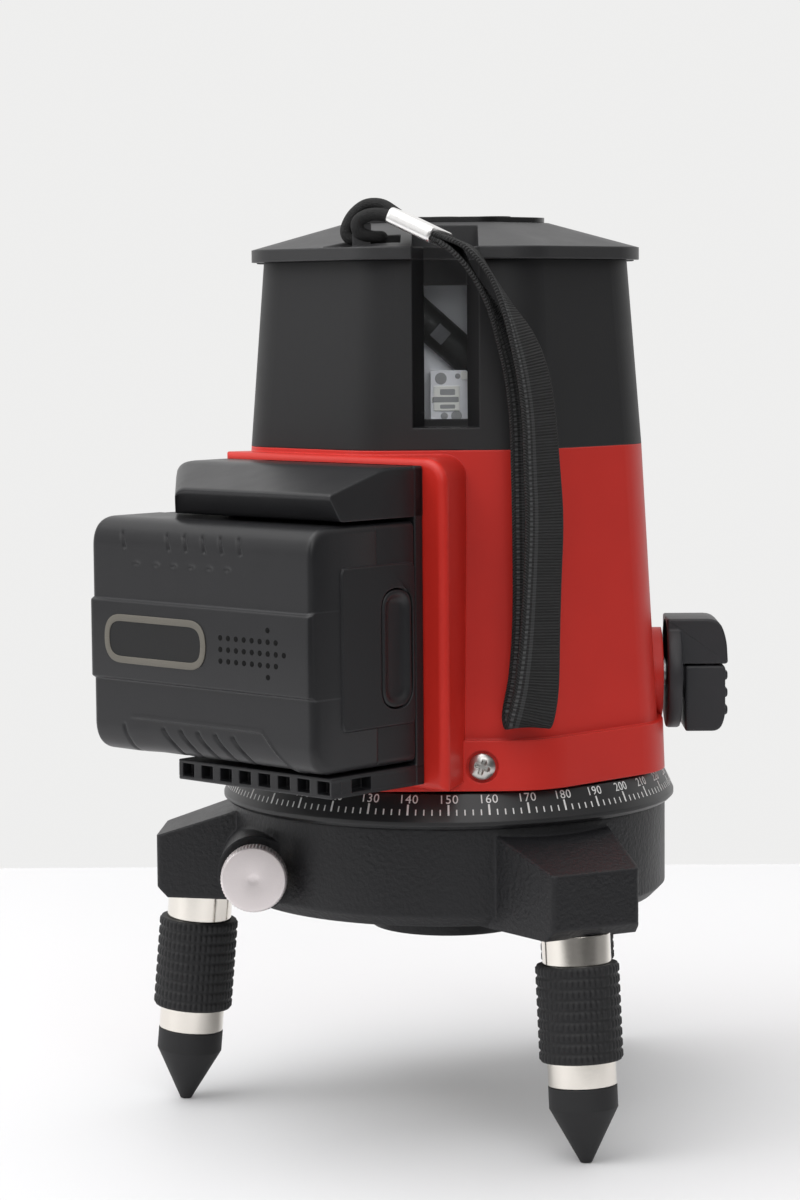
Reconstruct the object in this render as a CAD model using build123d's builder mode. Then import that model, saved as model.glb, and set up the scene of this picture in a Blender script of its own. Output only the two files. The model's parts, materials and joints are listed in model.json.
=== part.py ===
"""Line laser level: a self-levelling head on a turntable, with a slide-on battery, a lock knob,
a wrist strap and a three-legged base. Millimetres, +Z up, origin at the mouth of the tripod thread."""
import os
from math import cos, pi, radians, sin, sqrt

from build123d import *

os.makedirs("parts", exist_ok=True)

# Clearances
RUNNING = 0.1
LIFT_GAP = 0.2

# Base casting
HUB_RADIUS = 50.0
HUB_HEIGHT = 22.0
HUB_WALL = 3.5
HUB_EDGE = 2.5
HUB_FLOOR = 4.0
BOSS_RADIUS = 18.0
BOSS_HEIGHT = 8.0
ARM_COUNT = 3
ARM_TURN = -62.0
ARM_OVERLAP = 10.0
ARM_INNER_WIDTH = 31.0
ARM_REACH = 17.0
ARM_END_WIDTH = 21.5
ARM_DROP = 0.5
ARM_NOSE = 2.5
ARM_SHOULDER_IN = 3.0
ARM_SHOULDER_DROP = 1.5
ARM_END_DROP = 8.2
ARM_ROUND = 1.2

# Graduated ring
RING_OVERHANG = 2.0
RING_WIDTH = 8.0
RING_RIM = 1.6
RING_BEVEL = 2.8
RING_HEIGHT = 7.4
RING_GAP = 0.6

# Tripod thread, five eighths of an inch
THREAD_RADIUS = 7.94
INSERT_WALL = 2.56
INSERT_LENGTH = 8.0

# Turntable: spigot on the base, worm wheel, clutch washer and spindle
SPIGOT_WALL = 4.0
SPIGOT_HEIGHT = 8.4
BUSH_RISE = 1.0
BUSH_WALL = 3.0
SPINDLE_RADIUS = 9.0
FLANGE_INSET = 7.0
SPINDLE_FLANGE_THICK = 3.6
SPINDLE_NECK = 15.0
RETAINER_LAP = 2.2
RETAINER_THICK = 1.2
RETAINER_HEAD = 4.0
RETAINER_HEAD_HEIGHT = 2.4
RETAINER_SHANK = 2.0
WASHER_THICK = 1.2
WASHER_WIDTH = 8.0
CLUTCH_THICK = 1.4
CLUTCH_ROOM = 4.0

# Worm drive
MODULE = 1.5
WHEEL_SHARE = 0.78
WHEEL_FACE = 5.0
WHEEL_RISE = 2.8
TOOTH_HEIGHT = 1.2
TOOTH_DEPTH = 1.8
TOOTH_TIP = 1.0
TOOTH_ROOT = 2.7
WORM_PITCH_RADIUS = 4.0
WORM_CORE = 2.3
WORM_TURNS = 4
WORM_HOUSING_WALL = 4.0
WORM_BOSS_LENGTH = 7.5
WORM_ROOM_GAP = 1.0
WORM_ROOM_REAR = 15.5
WORM_BUSH_WALL = 2.2
WORM_BUSH_LENGTH = 6.5
WORM_END_WALL = 2.0
WHEEL_ROOM_GAP = 0.9
FINE_KNOB_RADIUS = 7.4
FINE_KNOB_THICK = 5.0
FINE_KNOB_GAP = 3.0
FINE_KNOB_DISH = 1.0

# Legs
LEG_REACH = 8.0
LEG_SPLAY = 5.0
STUD_RADIUS = 4.0
STUD_IN_ARM = 11.0
STUD_LENGTH = 29.0
LEG_SEAT_RIM = 1.15
LEG_GAP = 0.3
BARREL_RADIUS = 7.45
BARREL_STEP = 0.65
COLLAR_LENGTH = 6.4
GRIP_LENGTH = 21.0
GRIP_WALL = 2.4
LOWER_COLLAR = 5.3
STUD_CLEARANCE = 0.25
BARREL_BORE_SPARE = 7.0
TIP_PIN_RADIUS = 3.0
TIP_PIN_LENGTH = 5.5
TIP_PIN_CLEARANCE = 0.2
TIP_RADIUS = 7.5
TIP_STRAIGHT = 4.8
TIP_CONE = 11.9
TIP_POINT = 1.3
GRIP_RIBS = 9
GRIP_RIB_DEPTH = 0.45

# Housings: regular octagons with rounded corners, stacked from the ring upward
BODY_CORNER = 15.0
SKIRT_HEIGHT = 11.0
SKIRT_PROUD = 1.8
SKIRT_CORNER = 19.0
SKIRT_DRAFT = 0.4
SKIRT_WALL = 3.4
LOWER_APOTHEM = 47.4
LOWER_HEIGHT = 62.5
LOWER_LEAN = 3.4
HEAD_HEIGHT = 41.1
HEAD_LEAN = 3.2
HOUSING_WALL = 2.4
LIP_HEIGHT = 3.0
LIP_WALL = 1.6
LIP_GAP = 0.15

# Window channels
WINDOW_COUNT = 4
CHANNEL_HALF = 7.2
CHANNEL_SILL = 4.8
CHANNEL_DEPTH = 3.6
CHANNEL_WALL = 1.8
WINDOW_HALF = 4.7
WINDOW_SILL = 1.7
WINDOW_HEADROOM = 5.6
GLASS_THICK = 1.2
GLASS_LAP = 1.2

# Lid and keypad
BRIM_OVERHANG = 2.7
BRIM_THICK = 2.7
LID_RISE = 5.7
LID_SLOPE_WIDTH = 20.0
LID_TOP_CORNER = 8.0
LID_WALL = 2.2
NOTCH_DEPTH = 11.2
NOTCH_WALL = 1.5
PANEL_INSET = 1.0
PANEL_THICK = 1.2
KEY_RADIUS = 4.0
KEY_PITCH = 11.0
KEY_STANDS = 0.6
KEY_STEM = 2.8
KEY_FLANGE = 0.7
KEY_FLANGE_THICK = 1.0
KEY_CLEARANCE = 0.2
LUG_X = -18.0
LUG_INSET = 6.5
LUG_LENGTH = 4.0
LUG_WIDTH = 5.0
LUG_RISE = 5.2
LUG_HOLE_RISE = 2.2
LUG_SUNK = 0.4
LUG_CLEARANCE = 0.4
POCKET_LEFT = -26.5
POCKET_RIGHT = -9.6
POCKET_HALF = 3.3

# Chassis
CHASSIS_THICK = 3.0
CHASSIS_GAP = 0.5
CHASSIS_LUG_HEIGHT = 6.0
CHASSIS_LUG_WIDTH = 9.0
CHASSIS_LUG_DEPTH = 7.0
POST_RADIUS = 3.0
POST_INSET = 5.4
POST_COUNT = 4
BRACKET_DROP = 6.6
BRACKET_THICK = 3.0
BRACKET_RIM = 4.0
BRACKET_ROOM = 0.5
EAR_GAP = 1.0
EAR_THICK = 3.0
EAR_WIDTH = 8.0
SCREW_HEAD = 2.9
SCREW_HEAD_HEIGHT = 1.9
SCREW_SHANK = 1.5
SCREW_LENGTH = 7.0
SCREW_SEAT_CLEARANCE = 0.6
SCREW_SEAT_DEPTH = 0.9
BODY_SCREW_X = 7.3
BODY_SCREW_RISE = 5.3
CHASSIS_SCREW_CIRCLE = 11.0

# Pendulum and gimbal
PIVOT_DROP = 3.0
PIN_RADIUS = 1.4
PIN_CLEARANCE = 0.1
GIMBAL_OUTER = 14.5
GIMBAL_INNER = 11.5
GIMBAL_HEIGHT = 5.0
HANGER_HALF_X = 4.0
HANGER_HALF_Y = 10.0
HANGER_HALF_Z = 3.5
HANGER_STEM = 3.5
HANGER_LENGTH = 18.0
BLOCK_HALF = 17.0
BLOCK_HEIGHT = 13.0
CRADLE_HALF = 6.0
CRADLE_RISE = 9.0
CRADLE_DEPTH = 2.0
CRADLE_PLATE_THICK = 3.0
CRADLE_PLATE_RISE = 1.0
CRADLE_PLATE_ROOM = 1.5
CLAMP_LEFT = -3.4
CLAMP_BOTTOM = 8.0
CLAMP_TOP = 3.5
CLAMP_BEHIND = 0.7
BARREL_WINDOW_GAP = 2.7
LASER_BARREL_RADIUS = 3.8
LASER_BARREL_LENGTH = 26.0
LASER_BARREL_TILT = 42.0
LASER_BARREL_DROP = 7.6
LENS_SIZE = 3.3
LENS_THICK = 1.5
LENS_SUNK = 1.1
LENS_SHIFT = -1.5
ROD_RADIUS = 4.0
WEIGHT_RADIUS = 13.0
WEIGHT_HEIGHT = 13.0
WEIGHT_RISE = 13.0
DAMPER_WIDTH = 11.0
DAMPER_THICK = 2.0
CARRIER_DROP = 8.5
CARRIER_THICK = 2.5
CARRIER_ROOM = 3.0
CARRIER_ARM = 9.0
CARRIER_RIM = 1.5
MAGNET_INSET = 4.0
MAGNET_RADIUS = 4.0
MAGNET_THICK = 3.0

# Pendulum lock
LOCK_RISE = 9.0
LOCK_BOSS_RADIUS = 10.4
LOCK_SHAFT_RADIUS = 3.0
LOCK_BUSH_WALL = 1.5
LOCK_BUSH_LENGTH = 8.0
CAM_RADIUS = 6.5
CAM_OFFSET = 3.0
CAM_HALF = 5.0
CAM_GAP = 0.3
LIFTER_THICK = 2.5
LIFTER_HALF_X = 5.0
LIFTER_RIM = 0.9
LIFTER_PAD_RADIUS = 6.0
LIFTER_PAD_DROP = 4.0
GUIDE_PIN_RADIUS = 1.5
GUIDE_PIN_GAP = 0.6
GUIDE_PIN_DROP = 2.0
GUIDE_CLEARANCE = 0.2
KNOB_GAP = 1.0
KNOB_DISC_RADIUS = 12.8
KNOB_DISC_THICK = 3.2
KNOB_SLOT = 0.9
KNOB_BAR_THICK = 9.8
KNOB_BAR_HALF = 13.0
KNOB_BAR_WIDTH = 15.0
KNOB_HOOD_BOTTOM = 4.5
KNOB_HUB = 6.0
KNOB_EDGE = 1.2
KNOB_SOCKET = 7.8

# Battery bay, dock and battery: u runs along the bay's face, w out of it
BAY_TURN = 42.0
BAY_PROUD = 0.1
BAY_LEFT = -25.0
BAY_RIGHT = 42.6
BAY_RISE = 2.0
BAY_DROP = 1.0
BAY_WALL = 2.5
BAY_ROUND = 3.0
BAY_SIDE_WALL = 3.5
BAY_CORNER = 5.0
BAY_JOIN_BACK = 16.8
BAY_JOIN_IN = 9.4
BAY_BACK = 23.5
PORT_LEFT = 6.0
PORT_RIGHT = 22.0
PORT_RISE = 7.8
PORT_HEIGHT = 8.0
DOCK_LEFT = -10.0
DOCK_RIGHT = 36.0
DOCK_BACK = 2.6
DOCK_RISE = 1.2
DOCK_DROP = 1.5
DOCK_DEPTH = 28.5
HOOD_HEIGHT = 10.6
HOOD_BEVEL_HEIGHT = 5.0
HOOD_BEVEL_DEPTH = 16.8
HOOD_LEFT = -27.4
HOOD_END_DEPTH = 16.8
HOOD_UNDERCUT = 3.5
TRAY_THICK = 4.4
COMB_COUNT = 8
COMB_PITCH = 5.8
COMB_FIRST = 3.0
COMB_WIDTH = 3.6
COMB_HEIGHT = 2.7
COMB_DEPTH = 3.0
COMB_FLOOR = 0.85
COMB_SIDE_FROM = 12.0
COMB_SIDE_WIDTH = 6.0
RAIL_LEFT = -6.0
RAIL_RIGHT = 25.0
RAIL_NECK = 14.0
RAIL_LIP = 22.0
RAIL_NECK_DEEP = 2.3
RAIL_LIP_DEEP = 2.5
RAIL_CLEARANCE = 0.45
RAIL_SHIFT = 2.1
BATTERY_OVERHANG = 21.5
BATTERY_SIT = 0.7
BATTERY_HEADROOM = 0.9
BATTERY_REAR_GAP = 0.5
BATTERY_COVER_DEPTH = 11.4
BATTERY_PROUD = 5.3
BATTERY_EDGE = 5.0
BATTERY_WALL = 1.8
COVER_LEFT_CORNER = 3.8
COVER_RIGHT_CORNER = 1.5
BAND_HEIGHT = 17.6
BAND_SHIFT = -0.7
BAND_PROUD = 0.8
CELL_RADIUS = 9.1
CELL_LENGTH = 50.0
CELL_COUNT = 2
CELL_GAP = 0.2
CELL_BACK = 12.3
CONTACT_COUNT = 4
CONTACT_PITCH = 4.0
CONTACT_THICK = 0.3
CONTACT_HEIGHT = 5.0
CONTACT_WIDTH = 2.4
CONTACT_GAP = 0.1
LATCH_HALF = 4.6
LATCH_HEIGHT = 25.0
LATCH_SHIFT = -0.9
LATCH_FROM_REAR = 5.6
LATCH_THICK = 3.0
LATCH_SUNK = 0.5
LATCH_POCKET = 5.5
LATCH_CLEARANCE = 0.3

# Main board
BOARD_HALF = 15.0
BOARD_RISE = 9.0
BOARD_DROP = 7.5
BOARD_THICK = 1.6
BOARD_INSET = 2.8
STANDOFF_RADIUS = 2.2

# Wrist strap: cord loop through the lug, ferrule, and webbing given by its middle line
CORD_RADIUS = 1.3
CORD_LOOP = 7.0
CORD_LEFT = -20.5
CORD_START = -9.8
CORD_RISE = 2.9
CORD_END = -14.0
FERRULE_START = (-12.6, -40.3, 161.9)
FERRULE_END = (-0.8, -46.8, 157.6)
FERRULE_WIDTH = 11.6
FERRULE_THICK = 3.9
FERRULE_WALL = 0.35
WEBBING_WIDTH = 10.0
WEBBING_THICK = 1.1
WEBBING_LINE = (
    (-3.1, -45.5, 159.15, -28.8),
    (-0.2, -47.1, 158.1, -28.8),
    (2.2, -48.2, 156.6, -24),
    (4.8, -49.8, 154.4, -10),
    (7.6, -51.6, 150.6, 14),
    (11.8, -53.0, 143.6, 45),
    (15.6, -53.4, 136.2, 65),
    (18.2, -53.6, 127.0, 80),
    (19.5, -53.8, 118.0, 88),
    (19.8, -54.0, 108.0, 90),
    (19.8, -54.4, 90.0, 90),
    (19.6, -54.8, 72.0, 90),
    (18.8, -54.6, 62.0, 90),
    (17.8, -54.2, 56.4, 90),
    (17.2, -53.8, 54.0, 90),
    (16.8, -52.3, 52.6, 90),
    (16.6, -50.8, 54.0, 90),
    (16.6, -50.4, 56.4, 90),
    (17.4, -50.4, 62.0, 90),
    (17.8, -50.2, 72.0, 90),
    (17.6, -49.8, 90.0, 90),
    (17.2, -49.2, 108.0, 90),
    (16.4, -48.9, 118.0, 88),
    (14.4, -48.8, 127.0, 78),
    (11.2, -49.2, 136.4, 62),
    (7.6, -50.0, 143.8, 40),
    (4.4, -50.4, 149.6, 14),
    (2.4, -49.4, 153.0, -10),
    (1.1, -48.0, 155.1, -24),
    (-0.6, -46.9, 156.75, -28.8),
    (-3.5, -45.3, 157.8, -28.8),
)

# Derived sizes: base, turntable and legs
HUB_BOTTOM = BOSS_HEIGHT
HUB_TOP = HUB_BOTTOM + HUB_HEIGHT
FLOOR_TOP = HUB_BOTTOM + HUB_FLOOR
ARM_INNER = HUB_RADIUS - ARM_OVERLAP
ARM_END = HUB_RADIUS + ARM_REACH
ARM_BOTTOM = HUB_BOTTOM - ARM_DROP
ARM_SHOULDER = HUB_RADIUS - ARM_SHOULDER_IN
ARM_SHOULDER_TOP = HUB_TOP - ARM_SHOULDER_DROP
ARM_END_TOP = HUB_TOP - ARM_END_DROP
RING_RADIUS = HUB_RADIUS + RING_OVERHANG
RING_INNER = RING_RADIUS - RING_WIDTH
RING_TOP_RADIUS = RING_RADIUS - RING_BEVEL
INSERT_RADIUS = THREAD_RADIUS + INSERT_WALL
BUSH_RADIUS = SPINDLE_RADIUS + BUSH_WALL
BUSH_BOTTOM = FLOOR_TOP + BUSH_RISE
SPIGOT_RADIUS = BUSH_RADIUS + SPIGOT_WALL
SPIGOT_TOP = FLOOR_TOP + SPIGOT_HEIGHT
SPINDLE_BOTTOM = BUSH_BOTTOM - 3 * LIFT_GAP
RETAINER_RADIUS = SPINDLE_RADIUS + RETAINER_LAP
WASHER_RADIUS = SPIGOT_RADIUS + WASHER_WIDTH
WHEEL_TEETH = 2 * round(HUB_RADIUS * WHEEL_SHARE / MODULE)
WHEEL_PITCH_RADIUS = MODULE * WHEEL_TEETH / 2
WHEEL_TIP = WHEEL_PITCH_RADIUS + TOOTH_HEIGHT
WHEEL_ROOT = WHEEL_PITCH_RADIUS - TOOTH_DEPTH
WHEEL_BOTTOM = FLOOR_TOP + WHEEL_RISE
WHEEL_TOP = WHEEL_BOTTOM + WHEEL_FACE
WHEEL_BORE = SPIGOT_RADIUS + RUNNING
WHEEL_ROOM = WHEEL_TIP + WHEEL_ROOM_GAP
SPINDLE_FLANGE = WHEEL_PITCH_RADIUS - FLANGE_INSET
CLUTCH_INNER = SPIGOT_RADIUS + CLUTCH_ROOM
FLANGE_BOTTOM = WHEEL_TOP + CLUTCH_THICK + LIFT_GAP
WORM_X = -(WHEEL_PITCH_RADIUS + WORM_PITCH_RADIUS)
WORM_HEIGHT = WHEEL_BOTTOM + WHEEL_FACE / 2
WORM_PITCH = pi * MODULE
WORM_ROOM = WORM_PITCH_RADIUS + TOOTH_HEIGHT + WORM_ROOM_GAP
WORM_ROOM_FRONT = -round(sqrt(HUB_RADIUS ** 2 - WORM_X ** 2), 1)
WORM_BUSH_RADIUS = WORM_CORE + WORM_BUSH_WALL
WORM_BUSH_REAR = WORM_ROOM_REAR + WORM_BUSH_LENGTH
WORM_HOUSING = WORM_BUSH_RADIUS + WORM_HOUSING_WALL
WORM_HOUSING_FRONT = WORM_ROOM_FRONT - WORM_BOSS_LENGTH
WORM_HOUSING_REAR = WORM_BUSH_REAR + WORM_END_WALL
KNOB_FRONT = WORM_HOUSING_FRONT - FINE_KNOB_GAP - FINE_KNOB_THICK
LEG_RADIUS_AT_SEAT = HUB_RADIUS + LEG_REACH
LEG_SEAT_RADIUS = BARREL_RADIUS + LEG_SEAT_RIM
BARREL_NECK = BARREL_RADIUS - BARREL_STEP
BARREL_END = LEG_GAP + COLLAR_LENGTH + GRIP_LENGTH + LOWER_COLLAR
BARREL_BORE_DEPTH = STUD_LENGTH - STUD_IN_ARM + BARREL_BORE_SPARE
GRIP_RADIUS = BARREL_NECK + GRIP_WALL

# Derived sizes: housings, lid and chassis
SKIRT_BOTTOM = HUB_TOP + RING_HEIGHT + RING_GAP
SKIRT_TOP = SKIRT_BOTTOM + SKIRT_HEIGHT
SKIRT_APOTHEM = LOWER_APOTHEM + SKIRT_PROUD
SEAM = SKIRT_TOP + LOWER_HEIGHT
SEAM_APOTHEM = LOWER_APOTHEM - LOWER_LEAN
HEAD_TOP = SEAM + HEAD_HEIGHT
HEAD_APOTHEM = SEAM_APOTHEM - HEAD_LEAN
CHANNEL_BOTTOM = SEAM + CHANNEL_SILL
CHANNEL_BACK = HEAD_APOTHEM - CHANNEL_DEPTH
GLASS_FRONT = CHANNEL_BACK - CHANNEL_WALL
WINDOW_BOTTOM = CHANNEL_BOTTOM + WINDOW_SILL
WINDOW_TOP = HEAD_TOP - WINDOW_HEADROOM
BRIM_APOTHEM = HEAD_APOTHEM + BRIM_OVERHANG
BRIM_TOP = HEAD_TOP + BRIM_THICK
LID_TOP = BRIM_TOP + LID_RISE
LID_TOP_APOTHEM = BRIM_APOTHEM - LID_SLOPE_WIDTH
NOTCH_BACK = CHANNEL_BACK - NOTCH_DEPTH
PANEL_APOTHEM = LID_TOP_APOTHEM - PANEL_INSET
PANEL_TOP = LID_TOP + PANEL_THICK
LUG_Y = LUG_INSET - BRIM_APOTHEM
LUG_BOTTOM = BRIM_TOP - LUG_SUNK
LUG_HEIGHT = BRIM_TOP + LUG_RISE
LUG_HOLE = CORD_RADIUS + LUG_CLEARANCE
LUG_HOLE_HEIGHT = BRIM_TOP + LUG_HOLE_RISE
CORD_TOP = LUG_HOLE_HEIGHT + CORD_LOOP
CHASSIS_BOTTOM = SKIRT_BOTTOM + CHASSIS_GAP
CHASSIS_TOP = CHASSIS_BOTTOM + CHASSIS_THICK
CHASSIS_APOTHEM = SKIRT_APOTHEM - SKIRT_WALL - LIFT_GAP
CHASSIS_LUG_TOP = CHASSIS_TOP + CHASSIS_LUG_HEIGHT
POST_CIRCLE = HEAD_APOTHEM - HOUSING_WALL - POST_INSET
BRACKET_RADIUS = POST_CIRCLE + BRACKET_RIM
BRACKET_HOLE = GIMBAL_OUTER + BRACKET_ROOM
BRACKET_BOTTOM = HEAD_TOP - BRACKET_DROP
SCREW_SEAT = SCREW_HEAD + SCREW_SEAT_CLEARANCE
BODY_SCREW_Z = SKIRT_BOTTOM + BODY_SCREW_RISE
BOARD_BOTTOM = SKIRT_TOP + BOARD_RISE
BOARD_TOP = SEAM - BOARD_DROP
BOARD_Y = SEAM_APOTHEM - HOUSING_WALL - BOARD_INSET

# Derived sizes: pendulum and its lock
PIVOT = BRACKET_BOTTOM - PIVOT_DROP
EAR_INNER = GIMBAL_OUTER + EAR_GAP
HANGER_TOP = PIVOT + HANGER_HALF_Z
HANGER_BOTTOM = PIVOT - HANGER_HALF_Z
BLOCK_TOP = PIVOT - HANGER_LENGTH
BLOCK_BOTTOM = BLOCK_TOP - BLOCK_HEIGHT
BARREL_CIRCLE = GLASS_FRONT - GLASS_THICK - BARREL_WINDOW_GAP - LASER_BARREL_RADIUS
LASER_BARREL_Z = PIVOT - LASER_BARREL_DROP
CRADLE_TOP = BLOCK_TOP + CRADLE_RISE
CLAMP_FRONT = BARREL_CIRCLE + LASER_BARREL_RADIUS - CLAMP_BEHIND
CRADLE_REACH = BARREL_CIRCLE - CRADLE_DEPTH
CRADLE_PLATE_BACK = CRADLE_REACH - CRADLE_PLATE_THICK
CRADLE_PLATE_TOP = WINDOW_TOP + CRADLE_PLATE_RISE
BRACKET_CUT = CRADLE_PLATE_BACK - CRADLE_PLATE_ROOM
LENS_SEAT = BARREL_CIRCLE + LASER_BARREL_RADIUS - LENS_SUNK
LOCK_Z = SKIRT_TOP + LOCK_RISE
LOCK_BOSS_END = SKIRT_APOTHEM
LOCK_BUSH_RADIUS = LOCK_SHAFT_RADIUS + RUNNING + LOCK_BUSH_WALL
CAM_TOP = LOCK_Z - CAM_OFFSET + CAM_RADIUS
LIFTER_BOTTOM = CAM_TOP + CAM_GAP
GUIDE_PIN_Y = CAM_OFFSET + CAM_RADIUS + GUIDE_PIN_GAP + GUIDE_PIN_RADIUS
LIFTER_HALF_Y = GUIDE_PIN_Y + GUIDE_PIN_RADIUS + GUIDE_CLEARANCE + LIFTER_RIM
WEIGHT_BOTTOM = LOCK_Z + WEIGHT_RISE
WEIGHT_TOP = WEIGHT_BOTTOM + WEIGHT_HEIGHT
DAMPER_RADIUS = WEIGHT_RADIUS + DAMPER_WIDTH
CARRIER_BOTTOM = WEIGHT_BOTTOM - CARRIER_DROP
CARRIER_INNER = WEIGHT_RADIUS + CARRIER_ROOM
MAGNET_CIRCLE = DAMPER_RADIUS - MAGNET_INSET
LIFTER_PAD_TOP = WEIGHT_BOTTOM - LIFTER_PAD_DROP
GUIDE_PIN_TOP = WEIGHT_BOTTOM - GUIDE_PIN_DROP
KNOB_START = LOCK_BOSS_END + KNOB_GAP
KNOB_SOCKET_END = KNOB_START + KNOB_SOCKET
KNOB_END = KNOB_START + KNOB_DISC_THICK + KNOB_SLOT + KNOB_BAR_THICK

# Derived sizes: battery bay, dock and battery
BAY_FACE = LOWER_APOTHEM + BAY_PROUD
BAY_BOTTOM = SKIRT_BOTTOM + BAY_RISE
BAY_TOP = SEAM - BAY_DROP
BAY_JOIN_U = BAY_RIGHT - BAY_JOIN_IN
BAY_JOIN_W = BAY_FACE - BAY_JOIN_BACK
BAY_DEEP = BAY_FACE - BAY_BACK
DOCK_FACE = BAY_FACE + DOCK_BACK
DOCK_REACH = BAY_FACE + DOCK_DEPTH
DOCK_BOTTOM = BAY_BOTTOM + DOCK_RISE
DOCK_TOP = BAY_TOP - DOCK_DROP
HOOD_BOTTOM = DOCK_TOP - HOOD_HEIGHT
HOOD_FRONT_TOP = DOCK_TOP - HOOD_BEVEL_HEIGHT
HOOD_BEVEL = DOCK_REACH - HOOD_BEVEL_DEPTH
TRAY_TOP = DOCK_BOTTOM + TRAY_THICK
PORT_BOTTOM = DOCK_BOTTOM + PORT_RISE
PORT_TOP = PORT_BOTTOM + PORT_HEIGHT
COMB_LEFT = DOCK_LEFT + COMB_FIRST
COMB_SIDE_NEAR = DOCK_REACH - COMB_SIDE_FROM
BATTERY_LEFT = DOCK_LEFT - BATTERY_OVERHANG
BATTERY_RIGHT = DOCK_RIGHT
BATTERY_BOTTOM = TRAY_TOP + BATTERY_SIT
BATTERY_TOP = HOOD_BOTTOM - BATTERY_HEADROOM
BATTERY_MIDDLE = (BATTERY_BOTTOM + BATTERY_TOP) / 2
BATTERY_REAR = DOCK_FACE + BATTERY_REAR_GAP
BATTERY_SPLIT = BATTERY_REAR + BATTERY_COVER_DEPTH
BATTERY_FRONT = DOCK_REACH + BATTERY_PROUD
RAIL_Z = BATTERY_MIDDLE + RAIL_SHIFT
BAND_BOTTOM = BATTERY_MIDDLE + BAND_SHIFT - BAND_HEIGHT / 2
BAND_TOP = BAND_BOTTOM + BAND_HEIGHT
CELL_W = BATTERY_FRONT - CELL_BACK
CELL_STEP = 2 * CELL_RADIUS + CELL_GAP
CELL_FIRST = BATTERY_MIDDLE - CELL_STEP * (CELL_COUNT - 1) / 2
LATCH_Z = BATTERY_MIDDLE + LATCH_SHIFT
LATCH_W = BATTERY_REAR + LATCH_FROM_REAR

# Bay frame: x of the plane runs along the face, y up, z outward
ALONG = Vector(cos(radians(BAY_TURN)), -sin(radians(BAY_TURN)), 0)
OUTWARD = Vector(-sin(radians(BAY_TURN)), -cos(radians(BAY_TURN)), 0)
BAY_PLANE = Plane(origin=(0, 0, 0), x_dir=ALONG, z_dir=OUTWARD)
BAY_SIDE = Plane(origin=(0, 0, 0), x_dir=OUTWARD, z_dir=-ALONG)


def bay_point(u, w):
    """Plan position of a point given along and out of the bay's face."""
    spot = ALONG * u + OUTWARD * w
    return (spot.X, spot.Y)


def bay_box(left, right, bottom, top, near, far):
    """Cuboid in the bay's own frame."""
    with BuildPart() as box:
        with BuildSketch(BAY_PLANE.offset(near)):
            with Locations(((left + right) / 2, (bottom + top) / 2)):
                Rectangle(right - left, top - bottom)
        extrude(amount=far - near)
    return box.part


def block(left, right, front, back, bottom, top):
    """Cuboid between limits along x, y and z."""
    with BuildPart() as box:
        with Locations(((left + right) / 2, (front + back) / 2, (bottom + top) / 2)):
            Box(right - left, back - front, top - bottom)
    return box.part


def rod(start, direction, radius, length):
    """Cylinder from a start point along a direction."""
    with BuildPart() as bar:
        with BuildSketch(Plane(origin=start, z_dir=direction)):
            Circle(radius)
        extrude(amount=length)
    return bar.part


def turned(corners, frame=Plane.XY):
    """Body of revolution about a frame's z axis from its (radius, height) corners."""
    with BuildPart() as body:
        with BuildSketch(Plane(origin=frame.origin, x_dir=frame.x_dir, z_dir=-frame.y_dir)):
            with BuildLine():
                Polyline(*corners, close=True)
            make_face()
        revolve(axis=Axis(frame.origin, frame.z_dir))
    return body.part


def tube(inner, outer, bottom, top):
    """Upright round tube about the z axis."""
    return turned(((inner, bottom), (outer, bottom), (outer, top), (inner, top)))


def octagon(height, apothem, corner):
    """Rounded regular octagon at a height, with a flat facing each axis."""
    with BuildSketch(Plane.XY.offset(height)) as outline:
        RegularPolygon(apothem, 8, major_radius=False, rotation=22.5)
        fillet(outline.vertices(), corner)
    return outline.sketch


def prism(bottom, bottom_apothem, top, top_apothem, corner):
    """Rounded octagonal prism that may taper."""
    with BuildPart() as body:
        loft([octagon(bottom, bottom_apothem, corner), octagon(top, top_apothem, corner)])
    return body.part


def slab(corners, bottom, top):
    """Flat piece with a plan outline between two heights."""
    with BuildPart() as body:
        with BuildSketch(Plane.XY.offset(bottom)):
            with BuildLine():
                Polyline(*corners, close=True)
            make_face()
        extrude(amount=top - bottom)
    return body.part


def leg_frame(index):
    """Frame of one leg: origin on the arm's underside, z down the leg."""
    turn = radians(ARM_TURN + index * 360 / ARM_COUNT)
    lean = radians(LEG_SPLAY)
    radial = Vector(cos(turn), sin(turn), 0)
    seat = radial * LEG_RADIUS_AT_SEAT + Vector(0, 0, ARM_BOTTOM)
    down = radial * sin(lean) - Vector(0, 0, cos(lean))
    return Plane(origin=seat, x_dir=(-sin(turn), cos(turn), 0), z_dir=down)


# Base
with BuildPart() as arm:
    with BuildSketch(Plane.XZ):
        with BuildLine():
            Polyline(
                (ARM_INNER, ARM_BOTTOM),
                (ARM_END - ARM_NOSE, ARM_BOTTOM),
                (ARM_END, ARM_BOTTOM + ARM_NOSE),
                (ARM_END, ARM_END_TOP),
                (ARM_SHOULDER, ARM_SHOULDER_TOP),
                (ARM_INNER, ARM_SHOULDER_TOP),
                close=True,
            )
        make_face()
    extrude(amount=ARM_INNER_WIDTH / 2, both=True)
    with BuildSketch(Plane.XY):
        with BuildLine():
            Polyline(
                (ARM_INNER, -ARM_INNER_WIDTH / 2),
                (ARM_END, -ARM_END_WIDTH / 2),
                (ARM_END, ARM_END_WIDTH / 2),
                (ARM_INNER, ARM_INNER_WIDTH / 2),
                close=True,
            )
        make_face()
    extrude(amount=HUB_TOP, mode=Mode.INTERSECT)
    fillet(arm.faces().sort_by(Axis.X)[-1].edges().filter_by(Axis.Z), ARM_ROUND)

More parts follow.
